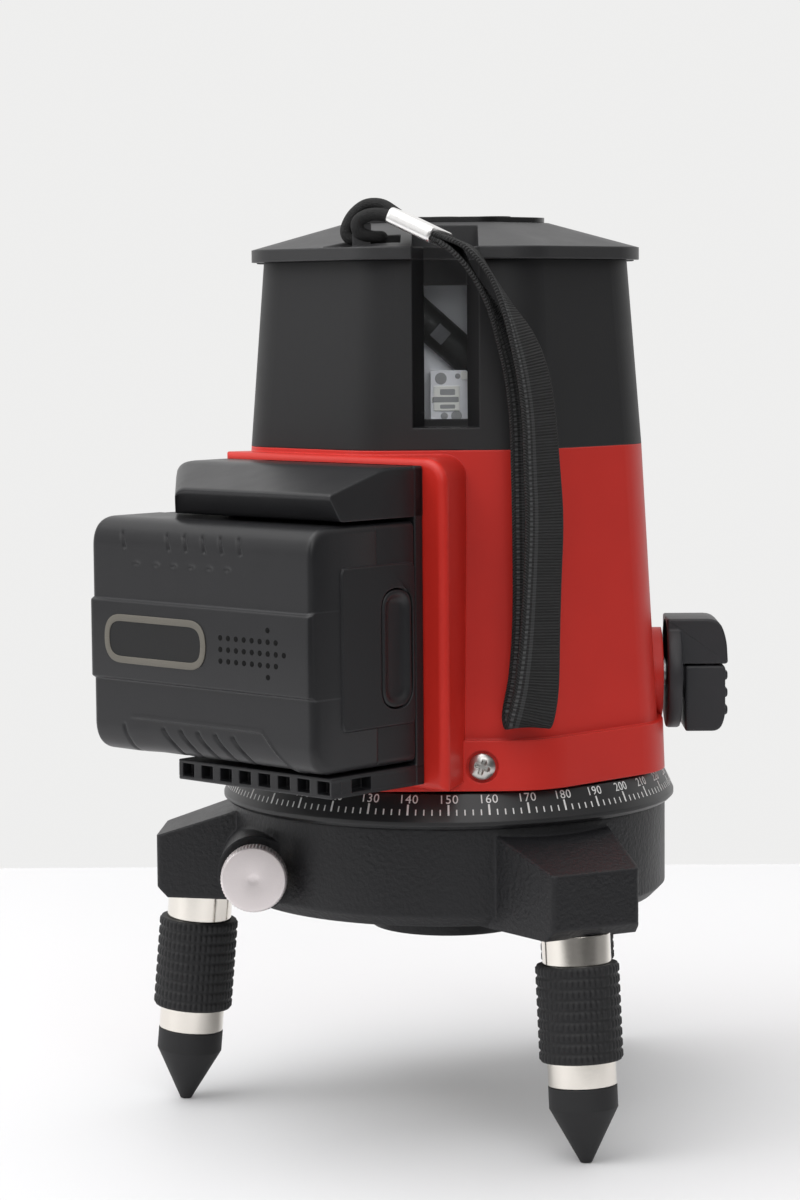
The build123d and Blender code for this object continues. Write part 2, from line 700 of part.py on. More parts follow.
hub_room = turned((
    (0, SPIGOT_TOP),
    (SPIGOT_RADIUS, SPIGOT_TOP),
    (SPIGOT_RADIUS, FLOOR_TOP),
    (HUB_RADIUS - HUB_WALL, FLOOR_TOP),
    (HUB_RADIUS - HUB_WALL, HUB_TOP),
    (0, HUB_TOP),
))

with BuildPart() as base_casting:
    add(turned((
        (0, 0),
        (BOSS_RADIUS, 0),
        (BOSS_RADIUS, HUB_BOTTOM),
        (HUB_RADIUS - HUB_EDGE, HUB_BOTTOM),
        (HUB_RADIUS, HUB_BOTTOM + HUB_EDGE),
        (HUB_RADIUS, HUB_TOP),
        (0, HUB_TOP),
    )))
    with PolarLocations(0, ARM_COUNT, start_angle=ARM_TURN):
        add(arm.part)
    add(hub_room, mode=Mode.SUBTRACT)
    housing_length = WORM_HOUSING_REAR - WORM_HOUSING_FRONT
    add(rod((WORM_X, WORM_HOUSING_FRONT, WORM_HEIGHT), (0, 1, 0), WORM_HOUSING, housing_length))
    add(tube(SPIGOT_RADIUS, WHEEL_ROOM, FLOOR_TOP, HUB_TOP), mode=Mode.SUBTRACT)
    add(rod((0, 0, 0), (0, 0, 1), INSERT_RADIUS, INSERT_LENGTH), mode=Mode.SUBTRACT)
    retainer_room = RETAINER_RADIUS + 3 * LIFT_GAP
    retainer_depth = BUSH_BOTTOM - INSERT_LENGTH
    add(rod((0, 0, INSERT_LENGTH), (0, 0, 1), retainer_room, retainer_depth), mode=Mode.SUBTRACT)
    add(rod((0, 0, BUSH_BOTTOM), (0, 0, 1), BUSH_RADIUS, SPIGOT_TOP - BUSH_BOTTOM), mode=Mode.SUBTRACT)
    worm_room_length = WORM_ROOM_REAR - WORM_ROOM_FRONT
    add(
        rod((WORM_X, WORM_ROOM_FRONT, WORM_HEIGHT), (0, 1, 0), WORM_ROOM, worm_room_length),
        mode=Mode.SUBTRACT,
    )
    bush_hole = WORM_BUSH_REAR - WORM_HOUSING_FRONT
    add(
        rod((WORM_X, WORM_HOUSING_FRONT, WORM_HEIGHT), (0, 1, 0), WORM_BUSH_RADIUS, bush_hole),
        mode=Mode.SUBTRACT,
    )
    for index in range(ARM_COUNT):
        frame = leg_frame(index)
        hole_start = frame.origin - frame.z_dir * STUD_IN_ARM
        add(rod(hole_start, frame.z_dir, STUD_RADIUS, STUD_IN_ARM * 2), mode=Mode.SUBTRACT)
        add(rod(frame.origin, frame.z_dir, LEG_SEAT_RADIUS, STUD_IN_ARM), mode=Mode.SUBTRACT)
base_casting.part.label = "base_casting"
export_step(base_casting.part, "parts/base_casting.step")

with BuildPart() as graduated_ring:
    add(turned((
        (RING_INNER, HUB_TOP),
        (RING_RADIUS - RING_RIM / 2, HUB_TOP),
        (RING_RADIUS, HUB_TOP + RING_RIM / 2),
        (RING_RADIUS, HUB_TOP + RING_RIM),
        (RING_TOP_RADIUS, HUB_TOP + RING_HEIGHT),
        (RING_INNER, HUB_TOP + RING_HEIGHT),
    )))
graduated_ring.part.label = "graduated_ring"
export_step(graduated_ring.part, "parts/graduated_ring.step")

with BuildPart() as tripod_insert:
    add(tube(THREAD_RADIUS, INSERT_RADIUS, 0, INSERT_LENGTH))
tripod_insert.part.label = "tripod_insert"
export_step(tripod_insert.part, "parts/tripod_insert.step")

with BuildPart() as spindle_bush:
    add(tube(SPINDLE_RADIUS + RUNNING, BUSH_RADIUS, BUSH_BOTTOM, SPIGOT_TOP))
spindle_bush.part.label = "spindle_bush"
export_step(spindle_bush.part, "parts/spindle_bush.step")

with BuildPart() as thrust_washer:
    add(tube(SPIGOT_RADIUS + 2 * RUNNING, WASHER_RADIUS, FLOOR_TOP, FLOOR_TOP + WASHER_THICK))
thrust_washer.part.label = "thrust_washer"
export_step(thrust_washer.part, "parts/thrust_washer.step")

with BuildPart() as worm_bushes:
    front_length = WORM_ROOM_FRONT - WORM_HOUSING_FRONT
    rear_length = WORM_BUSH_REAR - WORM_ROOM_REAR
    add(rod((WORM_X, WORM_HOUSING_FRONT, WORM_HEIGHT), (0, 1, 0), WORM_BUSH_RADIUS, front_length))
    add(rod((WORM_X, WORM_ROOM_REAR, WORM_HEIGHT), (0, 1, 0), WORM_BUSH_RADIUS, rear_length))
    add(
        rod((WORM_X, WORM_HOUSING_FRONT, WORM_HEIGHT), (0, 1, 0), WORM_CORE + RUNNING, bush_hole),
        mode=Mode.SUBTRACT,
    )
worm_bushes.part.label = "worm_bushes"
export_step(worm_bushes.part, "parts/worm_bushes.step")

with BuildPart() as foot_studs:
    for index in range(ARM_COUNT):
        frame = leg_frame(index)
        add(rod(frame.origin - frame.z_dir * STUD_IN_ARM, frame.z_dir, STUD_RADIUS, STUD_LENGTH))
foot_studs.part.label = "foot_studs"
export_step(foot_studs.part, "parts/foot_studs.step")

# Worm drive and turntable
wheel_corners = []
for tooth in range(WHEEL_TEETH):
    middle = 2 * pi * (tooth + 0.5) / WHEEL_TEETH
    for radius, half in (
        (WHEEL_ROOT, -TOOTH_ROOT / 2),
        (WHEEL_TIP, -TOOTH_TIP / 2),
        (WHEEL_TIP, TOOTH_TIP / 2),
        (WHEEL_ROOT, TOOTH_ROOT / 2),
    ):
        turn = middle + half / radius
        wheel_corners.append((radius * cos(turn), radius * sin(turn)))

with BuildPart() as worm_wheel:
    add(slab(wheel_corners, WHEEL_BOTTOM, WHEEL_TOP))
    hub_bottom = FLOOR_TOP + WASHER_THICK
    add(rod((0, 0, hub_bottom), (0, 0, 1), WASHER_RADIUS, WHEEL_TOP - hub_bottom))
    add(rod((0, 0, FLOOR_TOP), (0, 0, 1), WHEEL_BORE, HUB_TOP - FLOOR_TOP), mode=Mode.SUBTRACT)
worm_wheel.part.label = "worm_wheel"
export_step(worm_wheel.part, "parts/worm_wheel.step")

with BuildPart() as clutch_washer:
    add(tube(CLUTCH_INNER, SPINDLE_FLANGE, WHEEL_TOP, WHEEL_TOP + CLUTCH_THICK))
clutch_washer.part.label = "clutch_washer"
export_step(clutch_washer.part, "parts/clutch_washer.step")

thread_length = WORM_TURNS * WORM_PITCH
thread_start = Vector(WORM_X, -thread_length / 2 - WORM_PITCH / 4, WORM_HEIGHT)
with BuildPart() as worm_shaft:
    with BuildLine() as thread_line:
        Helix(WORM_PITCH, thread_length, WORM_PITCH_RADIUS, center=thread_start, direction=(0, 1, 0))
    thread_mouth = thread_line.line @ 0
    thread_radial = (thread_mouth - thread_start).normalized()
    with BuildSketch(Plane(thread_mouth, x_dir=thread_radial, z_dir=thread_radial.cross(Vector(0, 1, 0)))):
        with BuildLine():
            Polyline(
                (-TOOTH_DEPTH, -TOOTH_ROOT / 2),
                (TOOTH_HEIGHT, -TOOTH_TIP / 2),
                (TOOTH_HEIGHT, TOOTH_TIP / 2),
                (-TOOTH_DEPTH, TOOTH_ROOT / 2),
                close=True,
            )
        make_face()
    sweep(path=thread_line.line, is_frenet=True)
    shaft_start = KNOB_FRONT + FINE_KNOB_DISH
    add(rod((WORM_X, shaft_start, WORM_HEIGHT), (0, 1, 0), WORM_CORE, WORM_BUSH_REAR - shaft_start))
worm_shaft.part.label = "worm_shaft"
export_step(worm_shaft.part, "parts/worm_shaft.step")

with BuildPart() as fine_knob:
    add(rod((WORM_X, KNOB_FRONT, WORM_HEIGHT), (0, 1, 0), FINE_KNOB_RADIUS, FINE_KNOB_THICK))
    chamfer(fine_knob.edges().filter_by(GeomType.CIRCLE), FINE_KNOB_DISH / 2)
    add(rod((WORM_X, shaft_start, WORM_HEIGHT), (0, 1, 0), WORM_CORE, FINE_KNOB_THICK), mode=Mode.SUBTRACT)
fine_knob.part.label = "fine_knob"
export_step(fine_knob.part, "parts/fine_knob.step")

with BuildPart() as spindle:
    add(turned((
        (0, SPINDLE_BOTTOM),
        (SPINDLE_RADIUS, SPINDLE_BOTTOM),
        (SPINDLE_RADIUS, FLANGE_BOTTOM),
        (SPINDLE_FLANGE, FLANGE_BOTTOM),
        (SPINDLE_FLANGE, FLANGE_BOTTOM + SPINDLE_FLANGE_THICK),
        (SPINDLE_NECK, FLANGE_BOTTOM + SPINDLE_FLANGE_THICK),
        (SPINDLE_NECK, CHASSIS_BOTTOM),
        (0, CHASSIS_BOTTOM),
    )))
    add(rod((0, 0, SPINDLE_BOTTOM), (0, 0, 1), RETAINER_SHANK, SCREW_LENGTH), mode=Mode.SUBTRACT)
    with PolarLocations(CHASSIS_SCREW_CIRCLE, 3):
        add(rod((0, 0, CHASSIS_BOTTOM), (0, 0, -1), SCREW_SHANK, SCREW_LENGTH), mode=Mode.SUBTRACT)
spindle.part.label = "spindle"
export_step(spindle.part, "parts/spindle.step")

with BuildPart() as spindle_screw:
    add(turned((
        (0, SPINDLE_BOTTOM - RETAINER_THICK - RETAINER_HEAD_HEIGHT),
        (RETAINER_HEAD, SPINDLE_BOTTOM - RETAINER_THICK - RETAINER_HEAD_HEIGHT),
        (RETAINER_HEAD, SPINDLE_BOTTOM - RETAINER_THICK),
        (RETAINER_RADIUS, SPINDLE_BOTTOM - RETAINER_THICK),
        (RETAINER_RADIUS, SPINDLE_BOTTOM),
        (RETAINER_SHANK, SPINDLE_BOTTOM),
        (RETAINER_SHANK, SPINDLE_BOTTOM + SCREW_LENGTH),
        (0, SPINDLE_BOTTOM + SCREW_LENGTH),
    )))
spindle_screw.part.label = "spindle_screw"
export_step(spindle_screw.part, "parts/spindle_screw.step")

# Chassis
with BuildPart() as chassis_plate:
    add(prism(CHASSIS_BOTTOM, CHASSIS_APOTHEM, CHASSIS_TOP, CHASSIS_APOTHEM, BODY_CORNER))
    lug_left = BODY_SCREW_X - CHASSIS_LUG_WIDTH / 2
    lug_right = BODY_SCREW_X + CHASSIS_LUG_WIDTH / 2
    with PolarLocations(0, WINDOW_COUNT):
        add(block(
            lug_left,
            lug_right,
            -CHASSIS_APOTHEM,
            -CHASSIS_APOTHEM + CHASSIS_LUG_DEPTH,
            CHASSIS_BOTTOM,
            CHASSIS_LUG_TOP,
        ))
        add(
            rod((BODY_SCREW_X, -CHASSIS_APOTHEM, BODY_SCREW_Z), (0, 1, 0), SCREW_SHANK, SCREW_LENGTH),
            mode=Mode.SUBTRACT,
        )
    with PolarLocations(CHASSIS_SCREW_CIRCLE, 3):
        add(rod((0, 0, CHASSIS_BOTTOM), (0, 0, 1), SCREW_SHANK, CHASSIS_THICK), mode=Mode.SUBTRACT)
chassis_plate.part.label = "chassis_plate"
export_step(chassis_plate.part, "parts/chassis_plate.step")

with BuildPart() as chassis_screws:
    with PolarLocations(CHASSIS_SCREW_CIRCLE, 3):
        add(rod((0, 0, CHASSIS_TOP), (0, 0, 1), SCREW_HEAD, SCREW_HEAD_HEIGHT))
        add(rod((0, 0, CHASSIS_TOP), (0, 0, -1), SCREW_SHANK, SCREW_LENGTH))
chassis_screws.part.label = "chassis_screws"
export_step(chassis_screws.part, "parts/chassis_screws.step")

with BuildPart() as chassis_posts:
    with PolarLocations(POST_CIRCLE, POST_COUNT, start_angle=45):
        add(rod((0, 0, CHASSIS_TOP), (0, 0, 1), POST_RADIUS, BRACKET_BOTTOM - CHASSIS_TOP))
    with Locations((0, GUIDE_PIN_Y, 0), (0, -GUIDE_PIN_Y, 0)):
        add(rod((0, 0, CHASSIS_TOP), (0, 0, 1), GUIDE_PIN_RADIUS, GUIDE_PIN_TOP - CHASSIS_TOP))
chassis_posts.part.label = "chassis_posts"
export_step(chassis_posts.part, "parts/chassis_posts.step")

# Housings
with BuildPart() as bay_shell:
    add(slab(
        (
            bay_point(BAY_RIGHT, BAY_FACE),
            bay_point(BAY_JOIN_U, BAY_JOIN_W),
            bay_point(BAY_DEEP, BAY_DEEP),
            bay_point(BAY_LEFT + BAY_ROUND, BAY_DEEP),
            bay_point(BAY_LEFT + BAY_ROUND, BAY_FACE - 2 * BAY_ROUND),
            bay_point(BAY_LEFT, BAY_FACE),
        ),
        BAY_BOTTOM,
        BAY_TOP,
    ))
    bay_right = bay_shell.faces().sort_by(Axis((0, 0, 0), ALONG))[-1]
    fillet(bay_right.edges().sort_by(Axis.Z)[-1], BAY_CORNER)
    bay_front = bay_shell.faces().sort_by(Axis((0, 0, 0), OUTWARD))[-1]
    fillet(bay_front.edges(), BAY_ROUND / 2)

lower_inner = LOWER_APOTHEM - HOUSING_WALL
seam_inner = SEAM_APOTHEM - HOUSING_WALL
housing_lean = (lower_inner - seam_inner) / (SEAM - SKIRT_TOP)
inner_corner = BODY_CORNER - HOUSING_WALL
skirt_inner = SKIRT_APOTHEM - SKIRT_WALL
with BuildPart() as lower_housing:
    add(prism(SKIRT_TOP, LOWER_APOTHEM, SEAM, SEAM_APOTHEM, BODY_CORNER))
    add(prism(SKIRT_BOTTOM, SKIRT_APOTHEM, SKIRT_TOP, SKIRT_APOTHEM - SKIRT_DRAFT, SKIRT_CORNER))
    add(bay_shell.part)
    add(
        bay_box(BAY_LEFT, BAY_RIGHT, SKIRT_BOTTOM, BAY_TOP, BAY_FACE, DOCK_REACH),
        mode=Mode.SUBTRACT,
    )
    boss_start = lower_inner - HOUSING_WALL
    add(rod((boss_start, 0, LOCK_Z), (1, 0, 0), LOCK_BOSS_RADIUS, LOCK_BOSS_END - boss_start))
    add(prism(SKIRT_TOP, lower_inner, SEAM, seam_inner, inner_corner), mode=Mode.SUBTRACT)
    add(prism(SKIRT_BOTTOM, skirt_inner, SKIRT_TOP, skirt_inner, BODY_CORNER), mode=Mode.SUBTRACT)
    add(
        slab(
            (
                bay_point(BAY_RIGHT - BAY_SIDE_WALL, BAY_FACE - BAY_WALL),
                bay_point(BAY_JOIN_U - BAY_WALL, BAY_JOIN_W - BAY_WALL),
                bay_point(BAY_DEEP, BAY_DEEP),
                bay_point(0, BAY_DEEP),
                bay_point(0, BAY_FACE - BAY_WALL),
            ),
            BAY_BOTTOM + BAY_WALL,
            BAY_TOP - BAY_CORNER,
        ),
        mode=Mode.SUBTRACT,
    )
    add(bay_box(PORT_LEFT, PORT_RIGHT, PORT_BOTTOM, PORT_TOP, BAY_DEEP, DOCK_FACE), mode=Mode.SUBTRACT)
    for side in (-1, 1):
        for height in (BOARD_BOTTOM + 2 * STANDOFF_RADIUS, BOARD_TOP - 2 * STANDOFF_RADIUS):
            standoff = (side * (BOARD_HALF - 2 * STANDOFF_RADIUS), BOARD_Y + BOARD_THICK, height)
            wall_in = lower_inner - (height - SKIRT_TOP) * housing_lean
            standoff_length = wall_in + HOUSING_WALL / 2 - BOARD_Y - BOARD_THICK
            add(rod(standoff, (0, 1, 0), STANDOFF_RADIUS, standoff_length))
    bush_start = LOCK_BOSS_END - LOCK_BUSH_LENGTH
    add(rod((bush_start, 0, LOCK_Z), (1, 0, 0), LOCK_BUSH_RADIUS, LOCK_BUSH_LENGTH), mode=Mode.SUBTRACT)
    with PolarLocations(0, WINDOW_COUNT):
        seat_start = (BODY_SCREW_X, -SKIRT_APOTHEM + SCREW_SEAT_DEPTH, BODY_SCREW_Z)
        add(rod(seat_start, (0, -1, 0), SCREW_SEAT, SCREW_SEAT), mode=Mode.SUBTRACT)
        add(rod(seat_start, (0, 1, 0), SCREW_SHANK, SCREW_LENGTH), mode=Mode.SUBTRACT)
lower_housing.part.label = "lower_housing"
export_step(lower_housing.part, "parts/lower_housing.step")

with BuildPart() as body_screws:
    with PolarLocations(0, WINDOW_COUNT):
        add(rod(seat_start, (0, -1, 0), SCREW_HEAD, SCREW_HEAD_HEIGHT))
        add(rod(seat_start, (0, 1, 0), SCREW_SHANK, SCREW_LENGTH))
body_screws.part.label = "body_screws"
export_step(body_screws.part, "parts/body_screws.step")

channel_outline = (
    (-WINDOW_HALF, -CHANNEL_BACK),
    (WINDOW_HALF, -CHANNEL_BACK),
    (CHANNEL_HALF, -HEAD_APOTHEM),
    (CHANNEL_HALF, -SKIRT_APOTHEM),
    (-CHANNEL_HALF, -SKIRT_APOTHEM),
    (-CHANNEL_HALF, -HEAD_APOTHEM),
)
head_inner = HEAD_APOTHEM - HOUSING_WALL
tub_half = CHANNEL_HALF + CHANNEL_WALL
with BuildPart() as head_room:
    add(prism(SEAM, seam_inner, HEAD_TOP, head_inner, inner_corner))
    with PolarLocations(0, WINDOW_COUNT):
        add(
            block(-tub_half, tub_half, -SKIRT_APOTHEM, -GLASS_FRONT, CHANNEL_BOTTOM - CHANNEL_WALL, LID_TOP),
            mode=Mode.SUBTRACT,
        )

with BuildPart() as head_housing:
    add(prism(SEAM, SEAM_APOTHEM, HEAD_TOP, HEAD_APOTHEM, BODY_CORNER))
    lip_outer = seam_inner - LIP_GAP
    lip_inner = lip_outer - LIP_WALL
    add(head_room.part, mode=Mode.SUBTRACT)
    add(prism(SEAM - LIP_HEIGHT, lip_outer, SEAM, lip_outer, inner_corner))
    add(prism(SEAM, seam_inner, SEAM + LIP_WALL, seam_inner, inner_corner))
    add(prism(SEAM - LIP_HEIGHT, lip_inner, SEAM + LIP_WALL, lip_inner, inner_corner), mode=Mode.SUBTRACT)
    with PolarLocations(0, WINDOW_COUNT):
        add(slab(channel_outline, CHANNEL_BOTTOM, HEAD_TOP), mode=Mode.SUBTRACT)
        add(
            block(-WINDOW_HALF, WINDOW_HALF, -CHANNEL_BACK, -GLASS_FRONT, WINDOW_BOTTOM, WINDOW_TOP),
            mode=Mode.SUBTRACT,
        )
head_housing.part.label = "head_housing"
export_step(head_housing.part, "parts/head_housing.step")

with BuildPart() as window_glasses:
    glass_half = WINDOW_HALF + GLASS_LAP
    with PolarLocations(0, WINDOW_COUNT):
        add(block(
            -glass_half,
            glass_half,
            -GLASS_FRONT,
            -GLASS_FRONT + GLASS_THICK,
            WINDOW_BOTTOM - GLASS_LAP,
            WINDOW_TOP + GLASS_LAP,
        ))
window_glasses.part.label = "window_glasses"
export_step(window_glasses.part, "parts/window_glasses.step")

key_spots = ((-KEY_PITCH, 0), (0, 0), (KEY_PITCH, 0))
with BuildPart() as lid_outer:
    add(prism(HEAD_TOP, BRIM_APOTHEM, BRIM_TOP, BRIM_APOTHEM, BODY_CORNER))
    loft([octagon(BRIM_TOP, BRIM_APOTHEM, BODY_CORNER), octagon(LID_TOP, LID_TOP_APOTHEM, LID_TOP_CORNER)])

notch_half = CHANNEL_HALF + NOTCH_WALL
with BuildPart() as notch_frames:
    add(lid_outer.part)
    with BuildPart(mode=Mode.INTERSECT):
        with PolarLocations(0, WINDOW_COUNT):
            add(
                block(-notch_half, notch_half, -BRIM_APOTHEM, -NOTCH_BACK + NOTCH_WALL, HEAD_TOP, LID_TOP)
            )

with BuildPart() as lid:
    add(lid_outer.part)
    room_top_apothem = LID_TOP_APOTHEM - LID_WALL
    room_corner = LID_TOP_CORNER - LID_WALL
    loft(
        [
            octagon(HEAD_TOP, head_inner, inner_corner),
            octagon(LID_TOP - LID_WALL, room_top_apothem, room_corner),
        ],
        mode=Mode.SUBTRACT,
    )
    lid_lip = head_inner - LIP_GAP
    add(prism(HEAD_TOP - LIP_HEIGHT, lid_lip, BRIM_TOP, lid_lip, inner_corner))
    lid_lip_inner = lid_lip - LIP_WALL
    add(
        prism(HEAD_TOP - LIP_HEIGHT, lid_lip_inner, BRIM_TOP, lid_lip_inner, inner_corner),
        mode=Mode.SUBTRACT,
    )
    add(notch_frames.part)
    with PolarLocations(0, WINDOW_COUNT):
        lip_cut = tub_half + LIP_WALL
        add(
            block(-lip_cut, lip_cut, -BRIM_APOTHEM, -NOTCH_BACK, HEAD_TOP - LIP_HEIGHT, HEAD_TOP),
            mode=Mode.SUBTRACT,
        )
        add(
            block(-CHANNEL_HALF, CHANNEL_HALF, -BRIM_APOTHEM, -NOTCH_BACK, BRIM_TOP, LID_TOP),
            mode=Mode.SUBTRACT,
        )
        add(slab(channel_outline, HEAD_TOP, LID_TOP), mode=Mode.SUBTRACT)
    with Locations(*[(x, y, 0) for x, y in key_spots]):
        key_hole = KEY_RADIUS + KEY_FLANGE + KEY_CLEARANCE
        add(rod((0, 0, HEAD_TOP), (0, 0, 1), key_hole, LID_TOP - HEAD_TOP), mode=Mode.SUBTRACT)
    pocket_front = LUG_Y - POCKET_HALF
    pocket_back = LUG_Y + POCKET_HALF
    add(block(POCKET_LEFT, POCKET_RIGHT, pocket_front, pocket_back, BRIM_TOP, LID_TOP), mode=Mode.SUBTRACT)
    lug_left = LUG_X - LUG_LENGTH / 2
    lug_right = LUG_X + LUG_LENGTH / 2
    add(block(lug_left, lug_right, LUG_Y - LUG_WIDTH / 2, LUG_Y + LUG_WIDTH / 2, LUG_BOTTOM, LUG_HEIGHT))
    add(rod((lug_left, LUG_Y, LUG_HOLE_HEIGHT), (1, 0, 0), LUG_HOLE, LUG_LENGTH), mode=Mode.SUBTRACT)
lid.part.label = "lid"
export_step(lid.part, "parts/lid.step")

with BuildPart() as top_panel:
    add(prism(LID_TOP, PANEL_APOTHEM, PANEL_TOP, PANEL_APOTHEM, LID_TOP_CORNER))
    with Locations(*[(x, y, 0) for x, y in key_spots]):
        add(rod((0, 0, LID_TOP), (0, 0, 1), KEY_RADIUS + KEY_CLEARANCE, PANEL_THICK), mode=Mode.SUBTRACT)
top_panel.part.label = "top_panel"
export_step(top_panel.part, "parts/top_panel.step")

for index, (x, y) in enumerate(key_spots):
    key_frame = Plane(origin=(x, y, LID_TOP))
    with BuildPart() as key:
        add(turned(
            (
                (0, -KEY_STEM),
                (KEY_RADIUS, -KEY_STEM),
                (KEY_RADIUS, -KEY_FLANGE_THICK - RUNNING),
                (KEY_RADIUS + KEY_FLANGE, -KEY_FLANGE_THICK - RUNNING),
                (KEY_RADIUS + KEY_FLANGE, -RUNNING),
                (KEY_RADIUS, -RUNNING),
                (KEY_RADIUS, PANEL_THICK + KEY_STANDS),
                (0, PANEL_THICK + KEY_STANDS),
            ),
            key_frame,
        ))
    key.part.label = f"key_{index + 1}"
    export_step(key.part, f"parts/key_{index + 1}.step")

with BuildPart() as main_board:
    add(block(-BOARD_HALF, BOARD_HALF, BOARD_Y, BOARD_Y + BOARD_THICK, BOARD_BOTTOM, BOARD_TOP))
main_board.part.label = "main_board"
export_step(main_board.part, "parts/main_board.step")

# Gimbal and pendulum
with BuildPart() as gimbal_bracket:
    add(tube(BRACKET_HOLE, BRACKET_RADIUS, BRACKET_BOTTOM, BRACKET_BOTTOM + BRACKET_THICK))
    with PolarLocations(0, WINDOW_COUNT):
        add(
            block(-lip_cut, lip_cut, -BRIM_APOTHEM, -BRACKET_CUT, BRACKET_BOTTOM, HEAD_TOP),
            mode=Mode.SUBTRACT,
        )
    for side in (-1, 1):
        ear_near = min(side * EAR_INNER, side * (EAR_INNER + EAR_THICK))
        ear_bottom = PIVOT - EAR_WIDTH / 2
        add(block(ear_near, ear_near + EAR_THICK, -EAR_WIDTH / 2, EAR_WIDTH / 2, ear_bottom, BRACKET_BOTTOM))
    ear_end = EAR_INNER + EAR_THICK
    add(rod((-ear_end, 0, PIVOT), (1, 0, 0), PIN_RADIUS + PIN_CLEARANCE, 2 * ear_end), mode=Mode.SUBTRACT)
gimbal_bracket.part.label = "gimbal_bracket"
export_step(gimbal_bracket.part, "parts/gimbal_bracket.step")

with BuildPart() as gimbal_ring:
    ring_bottom = PIVOT - GIMBAL_HEIGHT / 2
    add(tube(GIMBAL_INNER, GIMBAL_OUTER, ring_bottom, ring_bottom + GIMBAL_HEIGHT))
    ring_middle = (GIMBAL_INNER + GIMBAL_OUTER) / 2
    for side in (-1, 1):
        add(rod((side * ring_middle, 0, PIVOT), (side, 0, 0), PIN_RADIUS, ear_end - ring_middle))
    hole_start = (0, -GIMBAL_OUTER, PIVOT)
    add(rod(hole_start, (0, 1, 0), PIN_RADIUS + PIN_CLEARANCE, 2 * GIMBAL_OUTER), mode=Mode.SUBTRACT)
gimbal_ring.part.label = "gimbal_ring"
export_step(gimbal_ring.part, "parts/gimbal_ring.step")

with BuildPart() as pendulum_hanger:
    add(block(-HANGER_HALF_X, HANGER_HALF_X, -HANGER_HALF_Y, HANGER_HALF_Y, HANGER_BOTTOM, HANGER_TOP))
    add(rod((0, -GIMBAL_OUTER, PIVOT), (0, 1, 0), PIN_RADIUS, 2 * GIMBAL_OUTER))
    add(rod((0, 0, BLOCK_TOP), (0, 0, 1), HANGER_STEM, HANGER_BOTTOM - BLOCK_TOP))
pendulum_hanger.part.label = "pendulum_hanger"
export_step(pendulum_hanger.part, "parts/pendulum_hanger.step")

barrel_along = Vector(cos(radians(LASER_BARREL_TILT)), 0, -sin(radians(LASER_BARREL_TILT)))
barrel_middle = Vector(0, -BARREL_CIRCLE, LASER_BARREL_Z)
barrel_start = barrel_middle - barrel_along * (LASER_BARREL_LENGTH / 2)
laser_barrel = rod(barrel_start, barrel_along, LASER_BARREL_RADIUS, LASER_BARREL_LENGTH)
lens_spot = Vector(0, -LENS_SEAT, LASER_BARREL_Z) + barrel_along * LENS_SHIFT
with BuildPart() as lens_block:
    with BuildSketch(Plane(origin=lens_spot, x_dir=barrel_along, z_dir=(0, -1, 0))):
        Rectangle(LENS_SIZE, LENS_SIZE)
    extrude(amount=LENS_THICK)

with BuildPart() as pendulum_block:
    add(block(-BLOCK_HALF, BLOCK_HALF, -BLOCK_HALF, BLOCK_HALF, BLOCK_BOTTOM, BLOCK_TOP))
    with PolarLocations(0, WINDOW_COUNT):
        add(block(-CRADLE_HALF, CRADLE_HALF, -CRADLE_REACH, -BLOCK_HALF, BLOCK_BOTTOM, CRADLE_TOP))
        add(
            block(
                -CRADLE_HALF,
                CRADLE_HALF,
                -CRADLE_REACH,
                -CRADLE_PLATE_BACK,
                CRADLE_TOP,
                CRADLE_PLATE_TOP,
            )
        )
        clamp_bottom = BLOCK_TOP - CLAMP_BOTTOM
        add(block(CLAMP_LEFT, CRADLE_HALF, -CLAMP_FRONT, -CRADLE_REACH, clamp_bottom, BLOCK_TOP + CLAMP_TOP))
        add(laser_barrel, mode=Mode.SUBTRACT)
pendulum_block.part.label = "pendulum_block"
export_step(pendulum_block.part, "parts/pendulum_block.step")

with BuildPart() as laser_barrels:
    with PolarLocations(0, WINDOW_COUNT):
        add(laser_barrel)
        add(lens_block.part, mode=Mode.SUBTRACT)
laser_barrels.part.label = "laser_barrels"
export_step(laser_barrels.part, "parts/laser_barrels.step")

with BuildPart() as laser_lenses:
    with PolarLocations(0, WINDOW_COUNT):
        add(lens_block.part)
laser_lenses.part.label = "laser_lenses"
export_step(laser_lenses.part, "parts/laser_lenses.step")

with BuildPart() as pendulum_weight:
    add(rod((0, 0, WEIGHT_BOTTOM), (0, 0, 1), WEIGHT_RADIUS, WEIGHT_TOP - WEIGHT_BOTTOM))
    add(rod((0, 0, WEIGHT_TOP), (0, 0, 1), ROD_RADIUS, BLOCK_BOTTOM - WEIGHT_TOP))
pendulum_weight.part.label = "pendulum_weight"
export_step(pendulum_weight.part, "parts/pendulum_weight.step")

with BuildPart() as damping_plate:
    add(tube(WEIGHT_RADIUS, DAMPER_RADIUS, WEIGHT_BOTTOM, WEIGHT_BOTTOM + DAMPER_THICK))
damping_plate.part.label = "damping_plate"
export_step(damping_plate.part, "parts/damping_plate.step")

